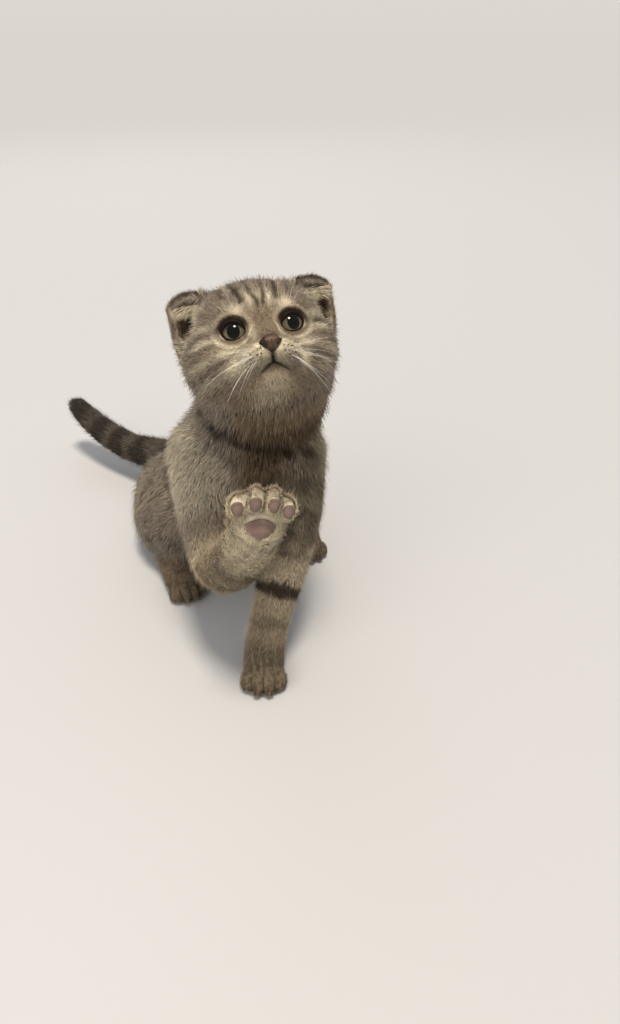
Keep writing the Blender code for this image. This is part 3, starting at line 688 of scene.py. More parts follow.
def on_skin(line):
    """A line of places in the head's axes, laid onto the nearest points of the skin."""
    line = np.asarray(line, float)
    steps = np.linspace(0.0, len(line) - 1.0, 5 * len(line))
    dense = np.stack([np.interp(steps, np.arange(len(line)), line[:, axis]) for axis in range(3)], axis=1)
    return into(HEAD, [skin_tree.find_nearest(Vector(place))[0] for place in out_of(HEAD, dense)])


def waver(points, wavelength, seed):
    """Smooth noise between -1 and 1 that changes over about this distance."""
    spread = np.random.default_rng(seed)
    total = np.zeros(len(points))
    for _ in range(5):
        way = unit(spread.normal(size=3)) * spread.uniform(0.7, 1.5)
        total += np.sin(points @ way * (2.0 * math.pi / wavelength) + spread.uniform(0.0, 2.0 * math.pi))
    return total / 2.6


def along(points, line):
    """How far along a line the nearest place to each point lies, from 0 to 1, and the distance to it."""
    line = np.asarray(line, float)
    steps = np.linalg.norm(np.diff(line, axis=0), axis=1)
    best = np.full(len(points), np.inf)
    place = np.zeros(len(points))
    done = 0.0
    for start, end, size in zip(line, line[1:], steps):
        share = np.clip(((points - start) @ (end - start)) / size ** 2, 0.0, 1.0)
        distance = np.linalg.norm(points - start - share[:, None] * (end - start), axis=1)
        nearer = distance < best
        best[nearer] = distance[nearer]
        place[nearer] = (done + share[nearer] * size) / steps.sum()
        done += size
    return place, best


def rings(place, bands):
    """Soft dark bands at these places along a limb."""
    dark = np.zeros(len(place))
    for middle, half, strength in bands:
        dark = np.maximum(dark, strength * np.exp(-(np.abs(place - middle) / half) ** 4))
    return dark


def whisker_roots():
    """Where the whiskers leave the pads: rows of places (across, up) in the head's axes."""
    for row, count in WHISKER_ROWS:
        for column in range(count):
            yield row, column, 6.0 + 1.75 * column + 0.3 * row, -14.4 - 2.1 * row - 0.55 * column


STRIPES = [(on_skin(line), half, strength) for line, half, strength in FOREHEAD_STRIPES + CHEEK_STRIPES]
PALE_LINE = on_skin(PALE_BAND)


def markings_and_shade(points):
    """How dark, how pale and how warm the coat is at each point, from 0 to 1; the dark holds painted shade too."""
    local = into(HEAD, points)
    local_soft = folded(local) + np.stack([waver(points, 0.011, seed) for seed in (3, 4, 5)], axis=1) * 0.7
    on_head = 1.0 - eased(np.linalg.norm((local - (0.0, 0.0, -2.0)) / (52.0, 56.0, 47.0), axis=1), 0.92, 1.12)
    dark = np.zeros(len(points))
    for line, half, strength in STRIPES:
        dark = np.maximum(dark, strength * np.exp(-(distance_to_line(local_soft, line) / half) ** 2))
    dark *= 1.0 - 0.45 * eased(local[:, 2], 22.0, 38.0)
    half_face = folded(local)
    for _, _, across, over in whisker_roots():
        gap = np.hypot(half_face[:, 1] - across, local[:, 2] - over)
        dark = np.maximum(dark, 0.6 * np.exp(-(gap / 0.6) ** 2) * (local[:, 0] > 28.0))
    # Round the mouth the coat darkens: the lips' own dark line, widened under the nose as painted shade in the split
    # and under the lip.
    toward_corner = eased(half_face[:, 1], 0.0, 9.0)
    lips = np.exp(-(mouth_distance(local) / (2.2 - 1.0 * toward_corner)) ** 2) * (local[:, 0] > 26.0)
    dark = np.maximum(dark, (0.95 - 0.35 * toward_corner) * lips)
    corner = np.linalg.norm((half_face - (30.0, 6.6, -2.6)) / (6.0, 2.2, 2.0), axis=1)
    dark = np.maximum(dark, 0.85 * np.exp(-corner ** 2))
    crown = eased(local[:, 2], 14.0, 32.0) * (0.30 + 0.20 * waver(points, 0.009, 8))
    dark = np.maximum(dark, np.clip(crown, 0.0, 1.0)) * on_head
    pale = np.zeros(len(points))
    warm = np.zeros(len(points))
    for spots, mask, where in ((PALE_SPOTS, pale, on_head), (WARM_SPOTS, warm, 1.0)):
        for centre, radii, strength in spots:
            reach = (((local_soft - centre) / radii) ** 2).sum(axis=1)
            np.maximum(mask, strength * np.exp(-reach) * where, out=mask)
    band = 0.8 * np.exp(-(distance_to_line(local_soft, PALE_LINE) / 3.0) ** 2)
    pale = np.maximum(pale, band * on_head)
    for side in (-1, 1):
        ratio, ahead = lid_ratio(points, side)
        round_eye = np.exp(-((ratio - 1.50) / 0.20) ** 2) * (ahead > 0.0)
        below = eased(into(eye_matrix(side), points)[:, 2], 1.0, -5.0)
        pale = np.maximum(pale, round_eye * (0.25 + 0.7 * below))
        lashes = (1.0 - eased(ratio, 1.12, 1.34)) * (ahead > 0.0)
        low = eased(into(eye_matrix(side), points)[:, 2], 3.5, -3.5)
        dark = np.maximum(dark * (1.0 - 0.5 * round_eye), lashes * (1.0 - 0.8 * low))
    dark = dark * (1.0 - 0.25 * pale)

    body = 1.0 - on_head
    place, gap = along(points, GUIDES["tail"][0])
    on_tail = 1.0 - eased(gap, 0.020, 0.030)
    tail_dark = 0.64 + rings(place + 0.02 * waver(points, 0.02, 9), TAIL_RINGS) * 0.36
    place, gap = along(points, GUIDES["foreleg_left"][0])
    on_leg = (1.0 - eased(gap, 0.022, 0.034)) * body
    bars = rings(place + 0.010 * waver(points, 0.018, 10), FORELEG_BARS)
    dark = np.maximum(dark, np.maximum(bars, 0.22 * eased(place, 0.75, 1.0)) * on_leg)
    warm = np.maximum(warm, 0.55 * on_leg * eased(place, 0.15, 0.6))
    pale = np.maximum(pale, 0.36 * on_leg * (1.0 - 0.5 * eased(place, 0.5, 1.0)))
    spine, spine_gap = along(points, np.vstack([GUIDES["nape"][0], GUIDES["back"][0]]))
    bars = 0.5 + 0.5 * np.sin(spine * 0.26 / BAR_SPACING * 2.0 * math.pi + 1.4 * waver(points, 0.035, 11))
    bars = eased(bars, 0.45, 0.95) * (0.38 + 0.26 * waver(points, 0.014, 12))
    flank = body * (1.0 - eased(points[:, 2] - 0.35 * points[:, 1], 0.26, 0.33)) * eased(points[:, 1], -0.150, -0.105)
    dark = np.maximum(dark, np.clip(bars, 0.0, 1.0) * flank)
    ridge = np.exp(-((points[:, 0] - 0.008 + 0.43 * (points[:, 1] + 0.02)) / 0.009) ** 2) * (points[:, 2] > 0.07)
    dark = np.maximum(dark, 0.5 * ridge * body * eased(points[:, 1], -0.120, -0.06))
    # The collar bands are the tabby's necklace stripes; they and the dark chest below the chin are deepened with
    # painted shade of the chin as well.
    front = body * (1.0 - eased(points[:, 1], -0.140, -0.105)) * (points[:, 2] > 0.09)
    collar_height = points[:, 2] + 0.42 * (points[:, 0] - 0.050) + 0.004 * waver(points, 0.022, 13)
    for level, half, strength in ((0.184, 0.0040, 0.65), (0.166, 0.0085, 1.0), (0.147, 0.0045, 0.7)):
        band = strength * np.exp(-((collar_height - level) / half) ** 2)
        dark = np.maximum(dark, band * front * (0.88 + 0.2 * waver(points, 0.012, 14)))
    chest = front * eased(points[:, 0], 0.030, 0.050)
    dark = np.maximum(dark, (0.56 + 0.14 * waver(points, 0.012, 17)) * chest * (1.0 - eased(points[:, 2], 0.186, 0.204)))
    warm = np.maximum(warm, 0.62 * eased(points[:, 0], 0.030, 0.050) * (points[:, 2] > 0.09) *
                      (1.0 - eased(points[:, 1], -0.140, -0.105)) * (1.0 - eased(points[:, 2], 0.190, 0.215)))
    pale = np.maximum(pale, 0.16 * chest * eased(points[:, 2], 0.178, 0.192))
    shoulder = 1.0 - eased(np.linalg.norm(points - (0.012, -0.125, 0.130), axis=1), 0.020, 0.045)
    pale = np.maximum(pale, 0.46 * shoulder * body * (1.0 - chest))
    raised = 1.0 - eased(np.linalg.norm(points - (0.050, -0.222, 0.140), axis=1), 0.026, 0.056)
    raised = raised * body * eased(points[:, 1], -0.172, -0.186)
    back_of_paw = eased(into(RAISED, points)[:, 2], 4.0, 14.0)
    pale = np.maximum(pale, (0.74 + 0.16 * waver(points, 0.007, 15)) * raised * (1.0 - 0.9 * back_of_paw))
    warm = np.maximum(warm * (1.0 - raised), 0.60 * raised * (1.0 - 0.45 * back_of_paw))
    dark = dark * (1.0 - raised)
    elbow = 1.0 - eased(np.linalg.norm(points - (0.026, -0.182, 0.086), axis=1), 0.018, 0.040)
    pale = np.maximum(pale, 0.34 * elbow * body)
    warm = np.maximum(warm, 0.45 * elbow * body)
    # The paws on the floor are warmed, and darkened with painted shade; the folds between the toes get painted shade
    # in the creases.
    for name, warmth, depth in (("forepaw_left", 0.5, 0.46), ("hindpaw_left", 0.38, 0.34), ("hindpaw_right", 0.38, 0.34)):
        gap = nearest_on(points, GUIDES[name][0])[0]
        on_paw = 1.0 - eased(gap, 0.016, 0.026)
        warm = np.maximum(warm, warmth * on_paw)
        dark = np.maximum(dark, (depth + 0.16 * waver(points, 0.0045, 16)) * on_paw)
    dark = np.maximum(dark, 0.75 * toe_partings(points))
    dark = dark * (1.0 - on_tail) + tail_dark * on_tail
    pale = pale * (1.0 - on_tail)
    ears = ear_share(local)
    dark = dark * (1.0 - ears) + 0.42 * ears
    pale = pale * (1.0 - ears)
    for side in (-1, 1):
        wall = ears * (1.0 - eased(distance_to_line(local, ear_line(side, EAR_WALL)), 5.0, 8.0))
        warm = np.maximum(warm * (1.0 - wall), 0.3 * wall)
        rim = np.exp(-(distance_to_line(local, ear_line(side, EAR_RIM)) / 1.2) ** 2)
        # Inside each hollow, and in a wide ring round it, the coat is darkened and browned as painted shade in the
        # ear's recess.
        hollow = in_ear_ball(local, *EAR_HOLLOW, side)
        inside = (1.0 - eased(hollow, 0.92, 1.16)) * (local[:, 2] > 6.0)
        painted_hollow_shade = (1.0 - eased(hollow, 0.95, 1.55)) * (local[:, 2] > 4.0)
        dark = np.maximum(dark * (1.0 - 0.95 * rim), np.maximum(0.66 * inside, 0.50 * painted_hollow_shade) * (1.0 - rim))
        warm = np.maximum(warm, 0.6 * painted_hollow_shade)
        pale = np.maximum(pale * (1.0 - inside), (0.6 + 0.35 * waver(points, 0.006, 18)) * rim)
    return np.clip(np.stack([dark, pale, warm], axis=1), 0.0, 1.0)


print("markings at the nose bridge:", markings_and_shade(out_of(HEAD, [(40.0, 0.0, -4.0)])).round(2))

# %% [markdown]
# ## Fur as a material
#
# A hair is keratin, a clear horn with grains of pigment, so it has a soft sheen and never shines like
# plastic. An agouti hair is banded: grey at its root, pale in its middle and dark at its tip; the dark
# grey at the root also stands as painted shade deep in the coat. The material reads two attributes
# that the meshes carry: the markings with the painted shade laid into them, with a shade of its own
# for each tuft, and the place along the hair.

# %% Fur material
FUR = {
    "base": "#9c9183",
    "pale": "#fbf1d7",
    "warm": "#8b6e43",
    "dark": "#2a211a",
    "root": "#4b4238",
}


def new_material(name, roughness):
    """A node material and its shader, with this roughness."""
    material = bpy.data.materials.new(name)
    material.use_nodes = True
    shader = material.node_tree.nodes["Principled BSDF"]
    shader.inputs["Roughness"].default_value = roughness
    return material, material.node_tree, shader


COLOUR = {"data_type": "RGBA"}
SMOOTH = {"interpolation_type": "SMOOTHSTEP"}


def fur_material(name, bump_height):
    """Agouti fur: markings with painted shade, and each tuft's shade, from attributes, bands along the hair, and a
    fine grain.
    """
    material, tree, shader = new_material(name, 0.62)
    marks_and_shade = add_node(tree, "ShaderNodeAttribute", {"attribute_name": "marks_and_shade"})
    strand = add_node(tree, "ShaderNodeAttribute", {"attribute_name": "strand"}).outputs["Fac"]
    parts = add_node(tree, "ShaderNodeSeparateColor", Color=marks_and_shade.outputs["Color"])
    shade = marks_and_shade.outputs["Alpha"]
    colour = add_node(tree, "ShaderNodeMix", COLOUR, Factor=parts.outputs["Blue"],
                      A=linear(FUR["base"]), B=linear(FUR["warm"]))
    colour = add_node(tree, "ShaderNodeMix", COLOUR, Factor=parts.outputs["Green"],
                      A=colour, B=linear(FUR["pale"]))
    ticking = add_node(tree, "ShaderNodeMapRange", SMOOTH, Value=shade, From_Min=0.55, From_Max=0.75, To_Max=0.45)
    tip = add_node(tree, "ShaderNodeMapRange", SMOOTH, Value=strand, From_Min=0.55, From_Max=0.95)
    ticked = add_node(tree, "ShaderNodeMath", {"operation": "MULTIPLY"}, _0=ticking, _1=tip)
    colour = add_node(tree, "ShaderNodeMix", COLOUR, Factor=ticked, A=colour, B=linear(FUR["dark"]))
    # The dark channel holds the stripes and also the painted shade laid into the markings.
    stripes_and_shade = add_node(tree, "ShaderNodeMapRange", SMOOTH, Value=parts.outputs["Red"], From_Min=0.05, To_Max=0.94)
    colour = add_node(tree, "ShaderNodeMix", COLOUR, Factor=stripes_and_shade, A=colour, B=linear(FUR["dark"]))
    # Towards its root the hair turns to the grey of the underfur, which also serves as painted shade deep in the
    # coat.
    root = add_node(tree, "ShaderNodeMapRange", SMOOTH, Value=strand, From_Max=0.45, To_Min=0.42, To_Max=0.0)
    colour = add_node(tree, "ShaderNodeMix", COLOUR, Factor=root, A=colour, B=linear(FUR["root"]))
    bright = add_node(tree, "ShaderNodeMapRange", Value=shade, To_Min=0.55, To_Max=1.45)
    level = add_node(tree, "ShaderNodeCombineColor", Red=bright, Green=bright, Blue=bright)
    colour = add_node(tree, "ShaderNodeMix", COLOUR | {"blend_type": "MULTIPLY"}, Factor=1.0, A=colour, B=level)
    tree.links.new(colour.outputs[2], shader.inputs["Base Color"])
    shader.inputs["Specular IOR Level"].default_value = 0.12
    shader.inputs["Sheen Weight"].default_value = 0.03
    shader.inputs["Sheen Roughness"].default_value = 0.5
    if bump_height:
        # Short hairs are 0.05 mm thick; the grain is drawn at 0.4 mm so that it shows.
        spot = add_node(tree, "ShaderNodeTexCoord").outputs["Object"]
        grain = add_node(tree, "ShaderNodeTexNoise", Vector=spot, Scale=1.0 / (0.4 * MM), Detail=3.0)
        bump = add_node(tree, "ShaderNodeBump", Strength=0.6, Distance=bump_height, Height=grain.outputs["Fac"])
        tree.links.new(bump.outputs["Normal"], shader.inputs["Normal"])
    return material


coat_finish = fur_material("agouti fur tufts", 0.0)
skin_finish = fur_material("short underfur on skin", 0.3 * MM)
print("fur colours", FUR)


def put_attribute(mesh, name, kind, values):
    """Stores one value or colour for each point of a mesh."""
    layer = mesh.attributes.new(name, kind, "POINT")
    layer.data.foreach_set("color" if kind == "FLOAT_COLOR" else "value",
                           np.ascontiguousarray(values, np.float32).ravel())


skin_marks_and_shade = markings_and_shade(skin_points)
put_attribute(skin.data, "marks_and_shade", "FLOAT_COLOR", np.column_stack([skin_marks_and_shade, np.full(len(skin_marks_and_shade), 0.42)]))
put_attribute(skin.data, "strand", "FLOAT", np.full(len(skin_marks_and_shade), 0.34))
skin.data.materials.clear()
skin.data.materials.append(skin_finish)
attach(skin, "root")
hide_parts(*FLESH)

# %% [markdown]
# ## Growing the coat
#
# Real hair is far too fine for a mesh, so it is drawn as tufts: each a slim closed spindle of six
# triangles, from a point sunk in the skin, through a three-cornered waist, to a point at the tip.
# They are scattered evenly over the skin, more closely where the hair is short, and built as one
# joined mesh for each region, straight from arrays, which is the only quick way to make so many.
# Neighbours lean together in small clumps, as hair does, and every clump has a shade of its own.

# %% Scatter roots over the skin
COAT_SEED = 41
TUFT_TOTAL = 242000
CLUMP_OF = 9
WIDTH_SHARE = 0.050
WIDTH_LEAST = 0.22
GUARD_SHARE = 0.12
PIECE_LIMIT = 32000
_long, _wide, _ = PAWS["forepaw_right"][1]
# The middle of each pad in the raised paw's axes, half its length and width, and how far it rises.
PALM_PADS = [((-5.0, 0.0), (6.6, 9.6), 1.9)]
for _across, _ahead in ((-14.8, 7.0), (-5.4, 12.2), (5.4, 12.2), (14.8, 7.0)):
    PALM_PADS.append(((_ahead, _across), (4.7, 3.7), 1.6))

skin_normals = vertex_array(skin, "normal")
corners = skin_points[triangle_points]
areas = 0.5 * np.linalg.norm(np.cross(corners[:, 1] - corners[:, 0], corners[:, 2] - corners[:, 0]), axis=1)
middles = corners.mean(axis=1)


def bare_share(points):
    """1 where no hair grows: inside the lids, under the nose leather, in the mouth and in the ear hollows."""
    local = into(HEAD, points)
    bare = np.zeros(len(points))
    for side in (-1, 1):
        ratio, ahead = lid_ratio(points, side)
        bare = np.maximum(bare, (ratio < 1.06) * (ahead > -2.0))
        hollow = in_ear_ball(local, *EAR_HOLLOW, side)
        bare = np.maximum(bare, (hollow < 1.03) * (local[:, 2] > 6.0) * 0.97)
    nose = np.linalg.norm((local - (43.0, MUZZLE_SIDE, -11.9)) / (6.0, 4.6, 4.6), axis=1)
    bare = np.maximum(bare, nose < 1.0)
    palm = into(RAISED, points)
    for middle, half, _ in PALM_PADS:
        bare = np.maximum(bare, (np.linalg.norm((palm[:, :2] - middle) / half, axis=1) < 0.95) * (palm[:, 2] < 8.0))
    return np.maximum(bare, (mouth_distance(local) < 0.5) * (local[:, 0] > 26.0))


_, middle_lengths = coat_fields(middles)
crowding = 1.0 / middle_lengths ** 1.25
downward = skin_normals[triangle_points].mean(axis=1)[:, 2]
crowding *= np.where((downward < -0.6) & (middles[:, 2] < 0.012), 0.15, 1.0)
head_middles = into(HEAD, middles)
crowding *= 1.0 + 0.5 * eased(head_middles[:, 0], 14.0, 26.0)
chances = areas * crowding * (1.0 - bare_share(middles))
draw = np.random.default_rng(COAT_SEED)
chosen = np.sort(draw.choice(len(areas), TUFT_TOTAL, p=chances / chances.sum()))
spread_a, spread_b = draw.random(TUFT_TOTAL), draw.random(TUFT_TOTAL)
flip = spread_a + spread_b > 1.0
spread_a[flip], spread_b[flip] = 1.0 - spread_a[flip], 1.0 - spread_b[flip]
shares = np.stack([1.0 - spread_a - spread_b, spread_a, spread_b], axis=1)
roots = (skin_points[triangle_points[chosen]] * shares[:, :, None]).sum(axis=1)
root_normals = unit((skin_normals[triangle_points[chosen]] * shares[:, :, None]).sum(axis=1))
root_uv = (skin_uv[chosen] * shares[:, :, None]).sum(axis=1)
grown = bare_share(roots) < draw.random(TUFT_TOTAL)
roots, root_normals, root_uv = roots[grown], root_normals[grown], root_uv[grown]
print(len(roots), "roots over", round(areas.sum() * 1e4, 1), "square centimetres of skin")

# %% [markdown]
# ## Direction, length and clumps
#
# Each root takes its direction from the guides, laid flat on the skin and then lifted by how far the
# coat stands up. A few guard hairs are longer and stand out more, which gives the soft, broken edge
# that a kitten has against the light. Tips are drawn towards the tip of their clump.

# %% Lay and clump the hair
ways, root_lengths = coat_fields(roots)
count = len(roots)
clump_seeds = draw.choice(count, count // CLUMP_OF, replace=False)
tree = KDTree(len(clump_seeds))
for place, index in enumerate(clump_seeds):
    tree.insert(roots[index], place)
tree.balance()
clump = np.array([tree.find(root)[1] for root in roots])
clump_turn = draw.normal(0.0, 0.08, len(clump_seeds))[clump]
clump_shade = draw.normal(0.0, 0.045, len(clump_seeds))[clump]

flat = unit(ways - root_normals * (ways * root_normals).sum(axis=1, keepdims=True))
cross = np.cross(root_normals, flat)
swing = clump_turn + draw.normal(0.0, 0.13, count)
flat = flat * np.cos(swing)[:, None] + cross * np.sin(swing)[:, None]
side = np.cross(root_normals, flat)
guard = draw.random(count) < GUARD_SHARE
tuft_lengths = root_lengths * draw.uniform(0.82, 1.15, count) * np.where(guard, 1.28, 1.0) * MM
tuft_widths = np.maximum(root_lengths * WIDTH_SHARE, WIDTH_LEAST) * draw.uniform(0.8, 1.25, count) * MM
tuft_widths = tuft_widths * np.where(guard, 0.6, 1.0)
rise = STAND * draw.uniform(0.70, 1.2, count) + np.where(guard, 0.20, 0.0)
run = np.sqrt(1.0 - rise ** 2)
waist = roots + (flat * (run * 0.42)[:, None] + root_normals * (rise * 0.55)[:, None]) * tuft_lengths[:, None]
tips = roots + (flat * run[:, None] + root_normals * (rise * 0.95)[:, None]) * tuft_lengths[:, None]
seed_tips = tips[clump_seeds][clump]
pull = 0.12 * np.exp(-np.linalg.norm(roots - roots[clump_seeds][clump], axis=1) / (0.5 * tuft_lengths))
tips = tips + (seed_tips - tips) * pull[:, None]
print("tufts", (tuft_lengths.min() / MM).round(2), "to", (tuft_lengths.max() / MM).round(2), "mm long")

# %% [markdown]
# ## Building the tufts
#
# A tuft has five points: the sunk root, three at the waist and the tip. The three waist points stand
# round the tuft's middle line, two at its sides and one on its back, so that each tuft is a closed,
# rounded sliver that takes light like a real lock. The kitten rests on the floor, so no point goes
# below it. The regions are split so that each piece stays small enough for the export.

# %% Build the coat pieces
TUFT_FACES = np.array(((0, 2, 1), (0, 3, 2), (0, 1, 3), (4, 1, 2), (4, 2, 3), (4, 3, 1)))
TUFT_PLACE = np.array((0.0, 0.5, 0.5, 0.5, 1.0), np.float32)
TUFT_PATCH = np.array(((0.0, -0.5), (-0.5, 0.0), (0.5, 0.0), (0.0, 0.15), (0.0, 0.5))) * 0.003
FLOOR_CLEAR = 0.0003


def tuft_mesh(name, base, normal, middle, tip, across, widths, uv, marks_and_shade, shade):
    """One joined mesh of closed tufts, from rows of their places, widths, and markings with painted shade."""
    number = len(base)
    width = widths[:, None] * 0.5
    over = unit(np.cross(tip - base, across))
    rows = np.empty((number, 5, 3))
    rows[:, 0] = base - normal * (0.35 * MM)
    rows[:, 1] = middle - across * width - over * width * 0.3
    rows[:, 2] = middle + across * width - over * width * 0.3
    rows[:, 3] = middle + over * width * 0.7
    rows[:, 4] = tip
    rows[:, :, 2] = np.maximum(rows[:, :, 2], FLOOR_CLEAR)
    faces = (TUFT_FACES[None] + (np.arange(number) * 5)[:, None, None]).reshape(-1)
    data = bpy.data.meshes.new(name)
    data.vertices.add(number * 5)
    data.vertices.foreach_set("co", rows.astype(np.float32).ravel())
    data.loops.add(len(faces))
    data.loops.foreach_set("vertex_index", faces.astype(np.int32))
    data.polygons.add(number * 6)
    data.polygons.foreach_set("loop_start", np.arange(number * 6, dtype=np.int32) * 3)
    data.update(calc_edges=True)
    patches = np.clip(uv[:, None, :] + TUFT_PATCH[None], 0.0, 1.0).reshape(-1, 2)[faces]
    data.uv_layers.new(name=BAKE_MAP).data.foreach_set("uv", patches.astype(np.float32).ravel())
    put_attribute(data, "marks_and_shade", "FLOAT_COLOR", np.repeat(np.column_stack([marks_and_shade, shade]), 5, axis=0))
    put_attribute(data, "strand", "FLOAT", np.tile(TUFT_PLACE, number))
    data.shade_smooth()
    data.materials.append(coat_finish)
    piece = bpy.data.objects.new(name, data)
    bpy.context.scene.collection.objects.link(piece)
    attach(piece, "root")
    print(name, number, "tufts,", len(data.polygons), "triangles")


root_marks_and_shade = markings_and_shade(roots)
root_shade = np.clip(0.5 + clump_shade + draw.normal(0.0, 0.19, count), 0.0, 1.0)
local_roots = into(HEAD, roots)
on_face = (np.linalg.norm(local_roots, axis=1) < 62.0) & (local_roots[:, 0] > 12.0)
on_skull = (np.linalg.norm(local_roots, axis=1) < 56.0) & ~on_face
regions = {"coat_face": on_face, "coat_head": on_skull}
rest = ~(on_face | on_skull)
regions["coat_neck"] = rest & (roots[:, 2] > 0.140)
regions["coat_forequarters"] = rest & (roots[:, 2] <= 0.140) & (roots[:, 1] < -0.110)
regions["coat_hindquarters"] = rest & (roots[:, 2] <= 0.140) & (roots[:, 1] >= -0.110)
for name, mask in regions.items():
    picked = np.nonzero(mask)[0]
    parts = max(1, math.ceil(len(picked) / PIECE_LIMIT))
    for number, share in enumerate(np.array_split(picked, parts), start=1):
        tuft_mesh(f"{name}_{number}", roots[share], root_normals[share], waist[share], tips[share], side[share],
                  tuft_widths[share], root_uv[share], root_marks_and_shade[share], root_shade[share])

# %% [markdown]
# ## Hair inside the ears
#
# A folded ear is nearly closed by long, thin, pale hairs. They grow from under the fold and from the
# inner edge of the hollow, and run outwards across it. They are tufts of the same kind, rooted in two
# small regions that are named from the middle of each ear, and each borrows the patch of texture of the
# nearest root of the coat.

# %% Ear furnishings
# Lowest and highest place (ahead, out, up), lie, and number, for each of the two groups.
EAR_TUFTS = (
    ((2.0, -9.0, 23.5), (5.5, 5.0, 28.5), (0.40, 0.75, -0.55), 230),
    ((5.0, -9.0, 9.0), (8.0, -6.0, 24.0), (0.30, 0.90, -0.10), 150),
)
ear_draw = np.random.default_rng(5)
ear_rows = []
for ear in (-1, 1):
    mirror = np.array((1.0, ear, 1.0))
    for low, high, lie, number in EAR_TUFTS:
        places = ear_draw.uniform(low, high, (number, 3))
        base = out_of(HEAD, (places + (0.0, EAR_SIDE[ear], 0.0)) * mirror)
        lies = unit((np.array(lie) + ear_draw.normal(0.0, 0.16, (number, 3))) * mirror)
        ear_rows.append((base, turned(HEAD, lies), ear_draw.uniform(6.0, 11.0, number) * MM))
base, lies, sizes = (np.concatenate(part) for part in zip(*ear_rows))
out_way = np.tile(turned(HEAD, (1.0, 0.0, 0.0)), (len(base), 1))
across = unit(np.cross(out_way, lies))
curl = out_way * (sizes * 0.10)[:, None]
root_tree = KDTree(len(roots))
for index, root in enumerate(roots):
    root_tree.insert(root, index)
root_tree.balance()
nearest = np.array([root_tree.find(place)[1] for place in base])
ear_marks = np.column_stack([ear_draw.uniform(0.0, 0.22, len(base)), ear_draw.uniform(0.25, 0.75, len(base)),
                             np.full(len(base), 0.45)])
tuft_mesh("coat_ear_hair", base, out_way, base + lies * (sizes * 0.5)[:, None] + curl, base + lies * sizes[:, None],
          across, np.full(len(base), 0.34 * MM), root_uv[nearest], ear_marks, ear_draw.uniform(0.3, 0.7, len(base)))

# %% [markdown]
# ## The eyes
#
# A kitten's eye is a wet ball with a clear bulge in front. Everything that shows is iris and pupil:
# an olive-grey ring with fine spokes, a dark edge, and a wide round pupil. A sphere is added at the
# eye's own size and place, its front is pushed out along the line of sight, and the iris is painted
# by distance and angle from that line. A clear coat over it gives the sharp bright spot.

# %% Eyeballs
PUPIL_HALF = 3.9
IRIS_HALF = 7.0
CORNEA_RISE = 0.55
GAZE = {-1: (0.3, -1.45), 1: (0.05, -1.2)}


def gaze_matrix(side):
    """The axes of an eye, turned to look at the camera: X runs through the pupil's middle."""
    across, over = GAZE[side]
    turn = Matrix.Rotation(math.atan2(across, EYE_RADIUS), 4, "Z")
    lift = Matrix.Rotation(-math.atan2(over, EYE_RADIUS), 4, "Y")
    return eye_matrix(side) @ turn @ lift


